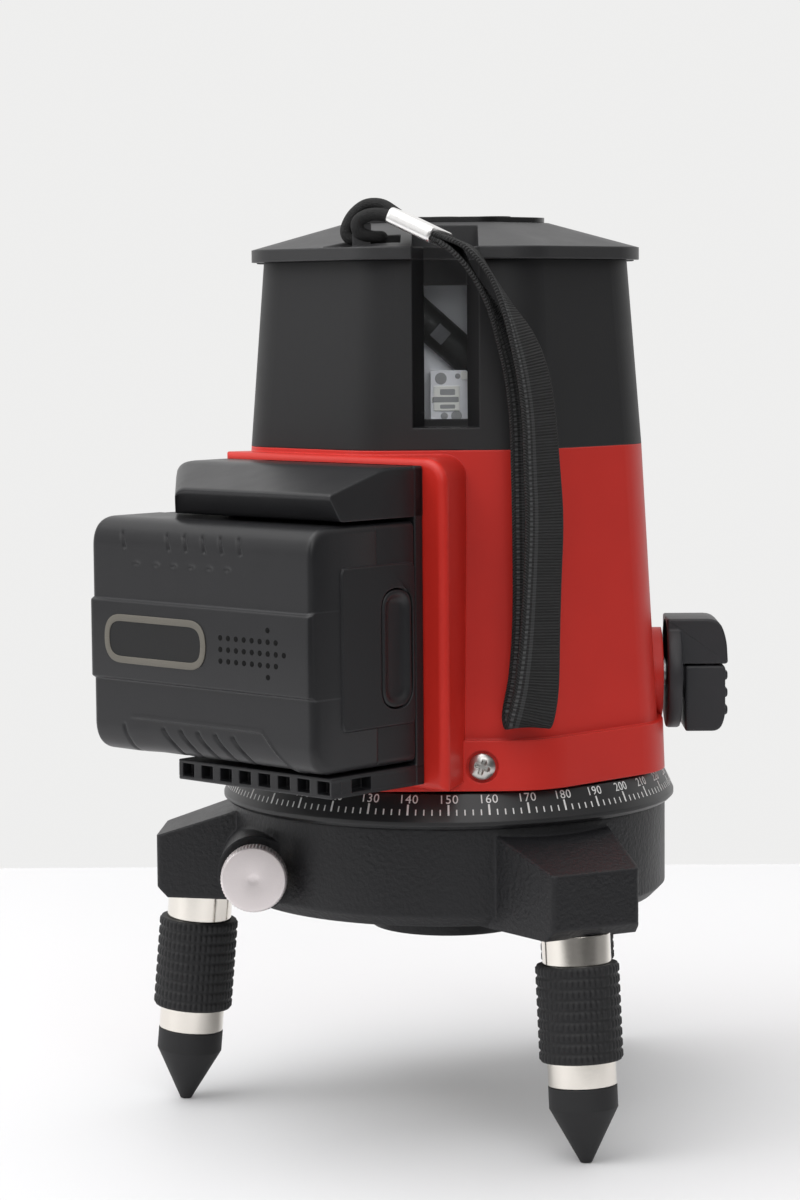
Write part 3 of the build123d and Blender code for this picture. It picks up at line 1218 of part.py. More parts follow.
with BuildPart() as magnet_carrier:
    add(tube(CARRIER_INNER, DAMPER_RADIUS, CARRIER_BOTTOM, CARRIER_BOTTOM + CARRIER_THICK))
    with PolarLocations(0, POST_COUNT, start_angle=45):
        add(block(
            DAMPER_RADIUS - POST_RADIUS,
            POST_CIRCLE + POST_RADIUS + CARRIER_RIM,
            -CARRIER_ARM / 2,
            CARRIER_ARM / 2,
            CARRIER_BOTTOM,
            CARRIER_BOTTOM + CARRIER_THICK,
        ))
    with PolarLocations(POST_CIRCLE, POST_COUNT, start_angle=45):
        add(rod((0, 0, CARRIER_BOTTOM), (0, 0, 1), POST_RADIUS, CARRIER_THICK), mode=Mode.SUBTRACT)
magnet_carrier.part.label = "magnet_carrier"
export_step(magnet_carrier.part, "parts/magnet_carrier.step")

with BuildPart() as damping_magnets:
    with PolarLocations(MAGNET_CIRCLE, POST_COUNT):
        add(rod((0, 0, CARRIER_BOTTOM + CARRIER_THICK), (0, 0, 1), MAGNET_RADIUS, MAGNET_THICK))
damping_magnets.part.label = "damping_magnets"
export_step(damping_magnets.part, "parts/damping_magnets.step")

# Pendulum lock
with BuildPart() as lock_bush:
    add(rod((bush_start, 0, LOCK_Z), (1, 0, 0), LOCK_BUSH_RADIUS, LOCK_BUSH_LENGTH))
    bush_bore = LOCK_SHAFT_RADIUS + RUNNING
    add(rod((bush_start, 0, LOCK_Z), (1, 0, 0), bush_bore, LOCK_BUSH_LENGTH), mode=Mode.SUBTRACT)
lock_bush.part.label = "lock_bush"
export_step(lock_bush.part, "parts/lock_bush.step")

with BuildPart() as lock_shaft:
    add(rod((CAM_HALF, 0, LOCK_Z), (1, 0, 0), LOCK_SHAFT_RADIUS, KNOB_SOCKET_END - CAM_HALF))
    add(rod((-CAM_HALF, 0, LOCK_Z - CAM_OFFSET), (1, 0, 0), CAM_RADIUS, 2 * CAM_HALF))
lock_shaft.part.label = "lock_shaft"
export_step(lock_shaft.part, "parts/lock_shaft.step")

knob_disc_end = KNOB_START + KNOB_DISC_THICK
with BuildPart() as lock_knob:
    add(rod((KNOB_START, 0, LOCK_Z), (1, 0, 0), KNOB_DISC_RADIUS, KNOB_DISC_THICK))
    add(rod((knob_disc_end, 0, LOCK_Z), (1, 0, 0), KNOB_HUB, KNOB_SLOT))
    bar_start = knob_disc_end + KNOB_SLOT
    bar_half = KNOB_BAR_WIDTH / 2
    add(block(bar_start, KNOB_END, -bar_half, bar_half, LOCK_Z - KNOB_BAR_HALF, LOCK_Z + KNOB_BAR_HALF))
    knob_outer = lock_knob.faces().sort_by(Axis.X)[-1]
    chamfer(knob_outer.edges(), KNOB_EDGE)
    add(block(KNOB_START, bar_start, -bar_half, bar_half, LOCK_Z + KNOB_HOOD_BOTTOM, LOCK_Z + KNOB_BAR_HALF))
    socket_length = KNOB_SOCKET_END - KNOB_START
    add(rod((KNOB_START, 0, LOCK_Z), (1, 0, 0), LOCK_SHAFT_RADIUS, socket_length), mode=Mode.SUBTRACT)
lock_knob.part.label = "lock_knob"
export_step(lock_knob.part, "parts/lock_knob.step")

with BuildPart() as lock_lifter:
    lifter_top = LIFTER_BOTTOM + LIFTER_THICK
    add(block(-LIFTER_HALF_X, LIFTER_HALF_X, -LIFTER_HALF_Y, LIFTER_HALF_Y, LIFTER_BOTTOM, lifter_top))
    add(rod((0, 0, lifter_top), (0, 0, 1), LIFTER_PAD_RADIUS, LIFTER_PAD_TOP - lifter_top))
    with Locations((0, GUIDE_PIN_Y, 0), (0, -GUIDE_PIN_Y, 0)):
        guide_hole = GUIDE_PIN_RADIUS + GUIDE_CLEARANCE
        pad_height = LIFTER_PAD_TOP - LIFTER_BOTTOM
        add(rod((0, 0, LIFTER_BOTTOM), (0, 0, 1), guide_hole, pad_height), mode=Mode.SUBTRACT)
lock_lifter.part.label = "lock_lifter"
export_step(lock_lifter.part, "parts/lock_lifter.step")

# Battery dock and battery
with BuildPart() as battery_dock:
    add(bay_box(DOCK_LEFT, DOCK_RIGHT, DOCK_BOTTOM, DOCK_TOP, BAY_FACE, DOCK_FACE))
    with BuildSketch(BAY_SIDE.offset(-HOOD_LEFT)):
        with BuildLine():
            Polyline(
                (BAY_FACE, HOOD_BOTTOM),
                (DOCK_REACH - HOOD_UNDERCUT, HOOD_BOTTOM),
                (DOCK_REACH, HOOD_FRONT_TOP),
                (HOOD_BEVEL, DOCK_TOP),
                (BAY_FACE, DOCK_TOP),
                close=True,
            )
        make_face()
    extrude(amount=HOOD_LEFT - DOCK_RIGHT)
    hood_end = (
        bay_point(HOOD_LEFT, DOCK_REACH - HOOD_END_DEPTH),
        bay_point(DOCK_LEFT, DOCK_REACH),
        bay_point(HOOD_LEFT, DOCK_REACH),
    )
    add(slab(hood_end, HOOD_BOTTOM, DOCK_TOP), mode=Mode.SUBTRACT)
    add(bay_box(DOCK_LEFT, DOCK_RIGHT, DOCK_BOTTOM, TRAY_TOP, BAY_FACE, DOCK_REACH))
    for notch in range(COMB_COUNT):
        notch_left = COMB_LEFT + notch * COMB_PITCH - COMB_WIDTH / 2
        notch_bottom = DOCK_BOTTOM + COMB_FLOOR
        add(
            bay_box(
                notch_left,
                notch_left + COMB_WIDTH,
                notch_bottom,
                notch_bottom + COMB_HEIGHT,
                DOCK_REACH - COMB_DEPTH,
                DOCK_REACH,
            ),
            mode=Mode.SUBTRACT,
        )
    add(
        bay_box(
            DOCK_RIGHT - COMB_DEPTH,
            DOCK_RIGHT,
            notch_bottom,
            notch_bottom + COMB_HEIGHT,
            COMB_SIDE_NEAR,
            COMB_SIDE_NEAR + COMB_SIDE_WIDTH,
        ),
        mode=Mode.SUBTRACT,
    )
    neck_end = DOCK_FACE + RAIL_NECK_DEEP
    rail_end = neck_end + RAIL_LIP_DEEP
    add(bay_box(RAIL_LEFT, RAIL_RIGHT, RAIL_Z - RAIL_NECK / 2, RAIL_Z + RAIL_NECK / 2, DOCK_FACE, neck_end))
    add(bay_box(RAIL_LEFT, RAIL_RIGHT, RAIL_Z - RAIL_LIP / 2, RAIL_Z + RAIL_LIP / 2, neck_end, rail_end))
    contact_middle = (PORT_LEFT + PORT_RIGHT) / 2
    contact_z = (PORT_BOTTOM + PORT_TOP) / 2
    contact_lefts = []
    for contact in range(CONTACT_COUNT):
        shift = (contact - (CONTACT_COUNT - 1) / 2) * CONTACT_PITCH
        contact_lefts.append(contact_middle + shift - CONTACT_WIDTH / 2)
    contact_bottom = contact_z - CONTACT_HEIGHT / 2
    contact_top = contact_z + CONTACT_HEIGHT / 2
    for left in contact_lefts:
        add(
            bay_box(left, left + CONTACT_WIDTH, contact_bottom, contact_top, BAY_FACE, DOCK_FACE),
            mode=Mode.SUBTRACT,
        )
battery_dock.part.label = "battery_dock"
export_step(battery_dock.part, "parts/battery_dock.step")

with BuildPart() as dock_contacts:
    pin_face = BATTERY_REAR - CONTACT_GAP
    for left in contact_lefts:
        add(bay_box(left, left + CONTACT_WIDTH, contact_bottom, contact_top, BAY_FACE - BAY_WALL, pin_face))
dock_contacts.part.label = "dock_contacts"
export_step(dock_contacts.part, "parts/dock_contacts.step")

latch_room = LATCH_HALF + LATCH_CLEARANCE
with BuildPart() as latch_pocket:
    with BuildSketch(BAY_SIDE.offset(-BATTERY_RIGHT)):
        with Locations((LATCH_W, LATCH_Z)):
            SlotOverall(LATCH_HEIGHT + 2 * LATCH_CLEARANCE, 2 * latch_room, rotation=90)
    extrude(amount=LATCH_POCKET)

with BuildPart() as battery_cover:
    add(bay_box(BATTERY_LEFT, BATTERY_RIGHT, BATTERY_BOTTOM, BATTERY_TOP, BATTERY_REAR, BATTERY_SPLIT))
    corner_edges = battery_cover.edges().filter_by(Axis((0, 0, 0), OUTWARD)).sort_by(Axis((0, 0, 0), ALONG))
    fillet(corner_edges[:2], COVER_LEFT_CORNER)
    corner_edges = battery_cover.edges().filter_by(Axis((0, 0, 0), OUTWARD)).sort_by(Axis((0, 0, 0), ALONG))
    fillet(corner_edges[-2:], COVER_RIGHT_CORNER)
    slot_right = RAIL_RIGHT + RAIL_CLEARANCE
    neck_half = RAIL_NECK / 2 + RAIL_CLEARANCE
    lip_half = RAIL_LIP / 2 + RAIL_CLEARANCE
    slot_neck_end = neck_end - RAIL_CLEARANCE
    slot_end = rail_end + RAIL_CLEARANCE
    room_near = slot_end + BATTERY_WALL
    slot_bottom = RAIL_Z - neck_half
    slot_top = RAIL_Z + neck_half
    add(
        bay_box(BATTERY_LEFT, slot_right, slot_bottom, slot_top, BATTERY_REAR, slot_neck_end),
        mode=Mode.SUBTRACT,
    )
    add(
        bay_box(BATTERY_LEFT, slot_right, RAIL_Z - lip_half, RAIL_Z + lip_half, slot_neck_end, slot_end),
        mode=Mode.SUBTRACT,
    )
    room_right = BATTERY_RIGHT - LATCH_POCKET - BATTERY_WALL
    add(
        bay_box(
            BATTERY_LEFT + BATTERY_WALL,
            room_right,
            BATTERY_BOTTOM + BATTERY_WALL,
            BATTERY_TOP - BATTERY_WALL,
            room_near,
            BATTERY_SPLIT,
        ),
        mode=Mode.SUBTRACT,
    )
    add(latch_pocket.part, mode=Mode.SUBTRACT)
    for left in contact_lefts:
        add(
            bay_box(
                left,
                left + CONTACT_WIDTH,
                contact_bottom,
                contact_top,
                BATTERY_REAR,
                BATTERY_REAR + CONTACT_THICK,
            ),
            mode=Mode.SUBTRACT,
        )
battery_cover.part.label = "battery_cover"
export_step(battery_cover.part, "parts/battery_cover.step")

with BuildPart() as battery_case:
    add(bay_box(BATTERY_LEFT, BATTERY_RIGHT, BATTERY_BOTTOM, BATTERY_TOP, BATTERY_SPLIT, BATTERY_FRONT))
    case_front = battery_case.faces().sort_by(Axis((0, 0, 0), OUTWARD))[-1]
    front_edges = case_front.edges().sort_by(Axis.Z)
    fillet([front_edges[0], front_edges[-1]], BATTERY_EDGE)
    band_front = BATTERY_FRONT + BAND_PROUD
    add(bay_box(BATTERY_LEFT, BATTERY_RIGHT, BAND_BOTTOM, BAND_TOP, BATTERY_SPLIT, band_front))
    add(
        bay_box(
            BATTERY_LEFT + BATTERY_WALL,
            room_right,
            BATTERY_BOTTOM + BATTERY_WALL,
            BATTERY_TOP - BATTERY_WALL,
            BATTERY_SPLIT,
            BATTERY_FRONT - BATTERY_EDGE,
        ),
        mode=Mode.SUBTRACT,
    )
    add(
        bay_box(
            BATTERY_LEFT + BATTERY_WALL,
            room_right,
            BATTERY_BOTTOM + BATTERY_EDGE,
            BATTERY_TOP - BATTERY_EDGE,
            BATTERY_SPLIT,
            BATTERY_FRONT - BATTERY_WALL,
        ),
        mode=Mode.SUBTRACT,
    )
battery_case.part.label = "battery_case"
export_step(battery_case.part, "parts/battery_case.step")

with BuildPart() as battery_cells:
    for cell in range(CELL_COUNT):
        cell_z = CELL_FIRST + cell * CELL_STEP
        cell_x, cell_y = bay_point(BATTERY_LEFT + BATTERY_WALL + CELL_GAP, CELL_W)
        add(rod((cell_x, cell_y, cell_z), ALONG, CELL_RADIUS, CELL_LENGTH))
battery_cells.part.label = "battery_cells"
export_step(battery_cells.part, "parts/battery_cells.step")

with BuildPart() as battery_contacts:
    for left in contact_lefts:
        add(bay_box(
            left,
            left + CONTACT_WIDTH,
            contact_bottom,
            contact_top,
            BATTERY_REAR,
            BATTERY_REAR + CONTACT_THICK,
        ))
battery_contacts.part.label = "battery_contacts"
export_step(battery_contacts.part, "parts/battery_contacts.step")

with BuildPart() as battery_latch:
    with BuildSketch(BAY_SIDE.offset(LATCH_SUNK - BATTERY_RIGHT)):
        with Locations((LATCH_W, LATCH_Z)):
            SlotOverall(LATCH_HEIGHT, 2 * LATCH_HALF, rotation=90)
    extrude(amount=LATCH_THICK)
battery_latch.part.label = "battery_latch"
export_step(battery_latch.part, "parts/battery_latch.step")

# Legs
for index in range(ARM_COUNT):
    frame = leg_frame(index)
    grip_start = LEG_GAP + COLLAR_LENGTH
    grip_end = grip_start + GRIP_LENGTH
    bore = STUD_RADIUS + STUD_CLEARANCE
    pin_bore = TIP_PIN_RADIUS + TIP_PIN_CLEARANCE
    pin_start = BARREL_END - TIP_PIN_LENGTH
    with BuildPart() as leg_barrel:
        add(turned(
            (
                (bore, LEG_GAP),
                (BARREL_RADIUS, LEG_GAP),
                (BARREL_RADIUS, grip_start),
                (BARREL_NECK, grip_start),
                (BARREL_NECK, grip_end),
                (BARREL_RADIUS, grip_end),
                (BARREL_RADIUS, BARREL_END),
                (pin_bore, BARREL_END),
                (pin_bore, pin_start),
                (0, pin_start),
                (0, BARREL_BORE_DEPTH),
                (bore, BARREL_BORE_DEPTH),
            ),
            frame,
        ))
    leg_barrel.part.label = f"leg_barrel_{index + 1}"
    export_step(leg_barrel.part, f"parts/leg_barrel_{index + 1}.step")

    rib_pitch = GRIP_LENGTH / GRIP_RIBS
    grip_corners = [(BARREL_NECK, grip_end), (BARREL_NECK, grip_start)]
    for rib in range(GRIP_RIBS):
        rib_start = grip_start + rib * rib_pitch
        grip_corners.append((GRIP_RADIUS - GRIP_RIB_DEPTH, rib_start))
        grip_corners.append((GRIP_RADIUS, rib_start + rib_pitch / 4))
        grip_corners.append((GRIP_RADIUS, rib_start + 3 * rib_pitch / 4))
    grip_corners.append((GRIP_RADIUS - GRIP_RIB_DEPTH, grip_end))
    with BuildPart() as leg_grip:
        add(turned(grip_corners, frame))
    leg_grip.part.label = f"leg_grip_{index + 1}"
    export_step(leg_grip.part, f"parts/leg_grip_{index + 1}.step")

    tip_start = BARREL_END + LIFT_GAP
    with BuildPart() as foot_tip:
        add(turned(
            (
                (0, pin_start + LIFT_GAP),
                (TIP_PIN_RADIUS, pin_start + LIFT_GAP),
                (TIP_PIN_RADIUS, tip_start),
                (TIP_RADIUS, tip_start),
                (TIP_RADIUS, tip_start + TIP_STRAIGHT),
                (TIP_POINT, tip_start + TIP_STRAIGHT + TIP_CONE),
                (0, tip_start + TIP_STRAIGHT + TIP_CONE),
            ),
            frame,
        ))
    foot_tip.part.label = f"foot_tip_{index + 1}"
    export_step(foot_tip.part, f"parts/foot_tip_{index + 1}.step")

# Wrist strap
with BuildPart() as strap_cord:
    with BuildLine(Plane.XZ.offset(-LUG_Y)) as cord_line:
        cord_first = Line((CORD_START, CORD_TOP - CORD_RISE), (CORD_LEFT + CORD_RISE, CORD_TOP))
        TangentArc(
            (CORD_LEFT + CORD_RISE, CORD_TOP),
            (CORD_LEFT, LUG_HOLE_HEIGHT),
            tangent=cord_first % 1,
        )
        Line((CORD_LEFT, LUG_HOLE_HEIGHT), (CORD_END, LUG_HOLE_HEIGHT))
    with BuildSketch(Plane(origin=cord_line.line @ 0, z_dir=cord_line.line % 0)):
        Circle(CORD_RADIUS)
    sweep(path=cord_line.line, transition=Transition.ROUND)
strap_cord.part.label = "strap_cord"
export_step(strap_cord.part, "parts/strap_cord.step")

ferrule_from = Vector(*FERRULE_START)
ferrule_along = (Vector(*FERRULE_END) - ferrule_from).normalized()
ferrule_length = (Vector(*FERRULE_END) - ferrule_from).length
ferrule_frame = Plane(origin=ferrule_from, x_dir=ferrule_along.cross(Vector(0, 0, 1)), z_dir=ferrule_along)
with BuildPart() as strap_ferrule:
    with BuildSketch(ferrule_frame):
        RectangleRounded(FERRULE_WIDTH, FERRULE_THICK, FERRULE_THICK / 3)
        inner_thick = FERRULE_THICK - 2 * FERRULE_WALL
        RectangleRounded(FERRULE_WIDTH - 2 * FERRULE_WALL, inner_thick, inner_thick / 3, mode=Mode.SUBTRACT)
    extrude(amount=ferrule_length)
strap_ferrule.part.label = "strap_ferrule"
export_step(strap_ferrule.part, "parts/strap_ferrule.step")

webbing_points = [Vector(x, y, z) for x, y, z, roll in WEBBING_LINE]
webbing_sections = []
for index, (x, y, z, roll) in enumerate(WEBBING_LINE):
    before = webbing_points[max(index - 1, 0)]
    after = webbing_points[min(index + 1, len(webbing_points) - 1)]
    heading = (after - before).normalized()
    across = Vector(sin(radians(roll)), -cos(radians(roll)), 0)
    across = (across - heading * across.dot(heading)).normalized()
    with BuildSketch(Plane(origin=(x, y, z), x_dir=across, z_dir=heading)) as webbing_section:
        Rectangle(WEBBING_WIDTH, WEBBING_THICK)
    webbing_sections.append(webbing_section.sketch)
with BuildPart() as strap_webbing:
    loft(webbing_sections, ruled=True)
strap_webbing.part.label = "strap_webbing"
export_step(strap_webbing.part, "parts/strap_webbing.step")
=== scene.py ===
import json
from math import cos, pi, radians, sin

import bpy
import numpy as np
from bpy.props import FloatProperty, FloatVectorProperty, IntProperty, PointerProperty
from mathutils import Matrix, Vector
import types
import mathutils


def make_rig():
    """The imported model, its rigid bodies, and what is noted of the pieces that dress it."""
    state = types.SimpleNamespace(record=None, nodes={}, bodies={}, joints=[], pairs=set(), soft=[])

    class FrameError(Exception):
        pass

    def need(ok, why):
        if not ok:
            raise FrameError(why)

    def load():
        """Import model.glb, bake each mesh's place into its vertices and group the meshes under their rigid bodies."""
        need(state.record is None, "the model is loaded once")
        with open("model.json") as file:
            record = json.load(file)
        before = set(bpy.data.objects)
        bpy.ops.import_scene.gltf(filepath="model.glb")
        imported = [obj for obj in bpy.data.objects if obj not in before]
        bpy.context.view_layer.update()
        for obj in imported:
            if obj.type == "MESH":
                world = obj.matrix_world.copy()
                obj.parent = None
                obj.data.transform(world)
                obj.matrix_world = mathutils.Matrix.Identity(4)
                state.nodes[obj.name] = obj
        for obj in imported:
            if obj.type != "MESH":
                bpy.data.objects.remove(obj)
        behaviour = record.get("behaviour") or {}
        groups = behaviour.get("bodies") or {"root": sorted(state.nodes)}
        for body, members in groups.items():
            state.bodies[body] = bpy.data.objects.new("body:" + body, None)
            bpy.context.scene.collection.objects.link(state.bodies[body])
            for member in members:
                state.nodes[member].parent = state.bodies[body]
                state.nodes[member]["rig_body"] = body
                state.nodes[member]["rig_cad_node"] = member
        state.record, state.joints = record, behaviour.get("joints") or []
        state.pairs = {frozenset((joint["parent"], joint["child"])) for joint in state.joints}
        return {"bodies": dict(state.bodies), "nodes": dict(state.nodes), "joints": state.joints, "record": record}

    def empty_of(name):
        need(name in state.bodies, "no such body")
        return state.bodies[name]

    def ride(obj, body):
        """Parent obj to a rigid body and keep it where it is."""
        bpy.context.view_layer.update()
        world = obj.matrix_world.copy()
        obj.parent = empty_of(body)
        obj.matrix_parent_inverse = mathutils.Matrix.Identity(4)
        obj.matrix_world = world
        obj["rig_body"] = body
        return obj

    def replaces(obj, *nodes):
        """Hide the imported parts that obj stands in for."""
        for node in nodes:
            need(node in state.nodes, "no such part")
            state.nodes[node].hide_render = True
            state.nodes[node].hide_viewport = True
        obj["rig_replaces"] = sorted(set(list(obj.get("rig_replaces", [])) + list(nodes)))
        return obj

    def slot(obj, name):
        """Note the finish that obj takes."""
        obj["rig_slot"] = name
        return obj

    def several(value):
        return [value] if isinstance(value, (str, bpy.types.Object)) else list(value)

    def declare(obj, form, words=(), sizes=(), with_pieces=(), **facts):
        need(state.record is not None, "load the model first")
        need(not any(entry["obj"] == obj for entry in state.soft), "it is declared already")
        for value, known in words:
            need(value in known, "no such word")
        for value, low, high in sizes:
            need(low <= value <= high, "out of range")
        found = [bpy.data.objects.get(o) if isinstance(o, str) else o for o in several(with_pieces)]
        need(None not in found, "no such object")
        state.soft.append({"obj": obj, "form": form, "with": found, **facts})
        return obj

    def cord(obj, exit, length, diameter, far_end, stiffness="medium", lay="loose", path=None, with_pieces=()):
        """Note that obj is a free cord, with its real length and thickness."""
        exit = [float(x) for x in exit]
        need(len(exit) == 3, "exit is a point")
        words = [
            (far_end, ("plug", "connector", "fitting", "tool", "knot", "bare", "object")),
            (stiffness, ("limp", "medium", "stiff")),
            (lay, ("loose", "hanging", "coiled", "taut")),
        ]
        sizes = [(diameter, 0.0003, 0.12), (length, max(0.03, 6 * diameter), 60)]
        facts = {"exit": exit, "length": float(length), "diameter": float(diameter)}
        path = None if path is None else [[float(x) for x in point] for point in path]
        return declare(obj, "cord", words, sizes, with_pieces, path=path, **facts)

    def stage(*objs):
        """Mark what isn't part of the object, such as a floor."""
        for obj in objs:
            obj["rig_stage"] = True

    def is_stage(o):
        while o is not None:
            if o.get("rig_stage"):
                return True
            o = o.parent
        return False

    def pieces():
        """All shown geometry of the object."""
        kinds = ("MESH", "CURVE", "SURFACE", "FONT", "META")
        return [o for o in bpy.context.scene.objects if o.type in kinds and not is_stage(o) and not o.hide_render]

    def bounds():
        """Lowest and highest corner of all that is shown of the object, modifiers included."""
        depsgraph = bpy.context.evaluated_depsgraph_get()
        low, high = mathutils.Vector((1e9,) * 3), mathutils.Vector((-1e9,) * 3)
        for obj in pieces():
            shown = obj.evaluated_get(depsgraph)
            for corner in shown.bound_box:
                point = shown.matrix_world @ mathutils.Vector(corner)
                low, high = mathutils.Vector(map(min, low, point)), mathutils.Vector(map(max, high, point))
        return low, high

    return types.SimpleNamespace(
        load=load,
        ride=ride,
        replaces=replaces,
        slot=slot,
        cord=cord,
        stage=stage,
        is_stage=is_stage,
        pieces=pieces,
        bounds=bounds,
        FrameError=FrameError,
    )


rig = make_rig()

bl_info = {
    "name": "Line laser level looks",
    "version": (1, 0, 0),
    "blender": (4, 5, 0),
    "location": "View3D > Sidebar > Level",
    "description": "Finishes, strap and detailed pieces of a line laser level on its packed model",
    "category": "Object",
}

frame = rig.load()
CAD_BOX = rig.bounds()

# Places and sizes below are in millimetres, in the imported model's own frame.
MM = 0.001
UP = np.array((0.0, 0.0, 1.0))

# The bay that carries the battery is turned to the left: u runs along its face, w out of it, and z up.
BAY_TURN = radians(42)
BAY_ALONG = np.array((cos(BAY_TURN), -sin(BAY_TURN), 0))
BAY_OUT = np.array((-sin(BAY_TURN), -cos(BAY_TURN), 0))

# Route of the webbing: x, y, z and the turn of its width in degrees.
WEBBING_ROUTE = np.array(
    (
        (-1.6, -44.9, 157.8, -28.8),
        (1.3, -46.4, 156.5, -28.8),
        (3.4, -47.9, 155.7, -26),
        (5.8, -49.3, 154.2, -18),
        (8.5, -50.7, 150.6, -9),
        (10.9, -51.7, 146.8, -9),
        (13.3, -52.7, 142.0, -18),
        (16.1, -53.4, 136.2, -36),
        (18.5, -53.8, 128.5, -45),
        (19.8, -54.0, 119.0, -45),
        (20.3, -54.1, 108.0, -50),
        (20.9, -54.4, 97.0, -54),
        (20.3, -54.8, 84.0, -53),
        (19.7, -54.8, 71.0, -58),
        (19.0, -54.6, 61.2, -74),
        (18.2, -54.2, 56.4, -86),
        (17.6, -53.8, 54.0, -90),
        (17.0, -52.3, 52.6, -90),
        (16.4, -50.8, 54.0, -90),
        (16.8, -50.4, 56.4, -90),
        (18.0, -50.4, 62.0, -88),
        (18.9, -50.2, 74.0, -80),
        (18.8, -49.9, 90.0, -72),
        (18.5, -49.5, 108.0, -70),
        (18.0, -49.3, 119.0, -62),
        (16.4, -49.2, 128.5, -52),
        (13.2, -49.4, 136.4, -36),
        (10.1, -49.9, 142.2, -17),
        (7.5, -50.0, 146.5, -9),
        (5.1, -49.6, 150.3, -9),
        (3.1, -48.7, 153.1, -17),
        (1.6, -47.5, 154.7, -25),
        (0.6, -46.4, 155.6, -28.8),
        (-2.2, -44.9, 157.1, -28.8),
    )
)

WEBBING_TILT = 0.16

# Route of the cord: out of the sleeve, through the lid's lug, over it and back.
CORD_ROUTE = np.array(
    (
        (-8.6, -41.4, 160.5),
        (-11.2, -40.8, 161.8),
        (-15.6, -40.2, 162.6),
        (-19.0, -39.8, 161.1),
        (-18.9, -39.6, 158.5),
        (-15.8, -38.8, 157.4),
        (-13.2, -37.4, 157.4),
        (-15.0, -37.0, 157.5),
        (-18.0, -37.0, 157.5),
        (-20.6, -36.8, 157.0),
        (-21.6, -36.6, 158.8),
        (-20.4, -36.8, 161.6),
        (-18.6, -37.0, 163.5),
        (-16.6, -37.2, 164.6),
        (-13.6, -38.0, 164.5),
        (-11.3, -39.3, 163.0),
        (-8.8, -40.9, 161.1),
    )
)
CORD_RADIUS = 1.4
BRAID_PITCH = 2.6
SLEEVE_START = np.array((-10.2, -40.3, 161.6))
SLEEVE_RUN = np.array((9.3, -4.9, -4.65))
SLEEVE_ACROSS = np.array((-0.45, -0.88, 0.15))
SLEEVE_WIDE, SLEEVE_DEEP = 5.5, 1.8
SLEEVE_ROUND = 1.6

LEG_TURNS = (-62, 58, 178)
LEG_LEAN = radians(5)
LEG_REACH = 58
LEG_TOP = 7.5
GRIP_TOP, GRIP_END = 6.75, 27.65
GRIP_BORE, GRIP_RADIUS = 6.85, 8.72
NUB_RISE = 0.42

# The dial's slope: radius and height of its lower edge, its lean inwards and upwards,
# and the reading in front. Its marks are placed along the slope.
DIAL_RADIUS = 52
DIAL_LOW = 31.6
DIAL_IN, DIAL_RISE = 0.4348, 0.9006
DIAL_FRONT = 150.06
TICK_LOW = 1.6
NUMBER_LOW, NUMBER_SIZE = 4.3, 2.75
MARK_RISE = 0.05

FINE_KNOB_PLACE = (-43, -36, 17.3)
LEVER_PLACE = (50.2, 0, 58)
LEVER_END = 64.1
SCREW_ACROSS, SCREW_OUT, SCREW_HEIGHT = 7.3, 48.3, 43.3
SCREW_RADIUS = 2.9

BATTERY_LEFT, BATTERY_RIGHT = -31.5, 36
BATTERY_BACK, BATTERY_FRONT = 61.9, 81.3
BATTERY_LOW, BATTERY_HIGH = 46.3, 97.5
BAND_LEFT, BAND_RIGHT = -31.55, 35.97
BAND_LOW, BAND_HIGH = 62.1, 80.2
BAND_FRONT = 82.1
PLATE_SIDES = (-26.2, 5.4, 66.2, 76.8)
PLATE_ROUND = 5.25
DOTS_START = np.array((9.8, 71.2))
DOTS_PITCH = np.array((2.35, 2.45))
TOP_CUT_HEIGHT, DENT_HEIGHT = 92.8, 87.9
TOP_CUTS = (-21, -7, -1.6, 3.9, 9.3, 14.8)
TOP_DENTS = (-16.7, -10.4, -4.9, 0.5, 6.0, 11.4)
GRIP_CUTS = (-9.5, -4.1, 1.2, 6.5, 11.8)
PANEL_TOP = 54.3

DOCK_LEFT, DOCK_RIGHT = -10, 36
DOCK_BACK, DOCK_FRONT = 47.6, 76
DOCK_LOW, DOCK_HIGH = 41.2, 109
COMB_LOW, COMB_HIGH = 41.95, 44.85
COMB_BACK = 73.2
RAIL_LEFT, RAIL_RIGHT = -6, 25
HOOD_LOW = 98.4
HOOD_LEFT = -27.4

MODULE_FACE = 30.6

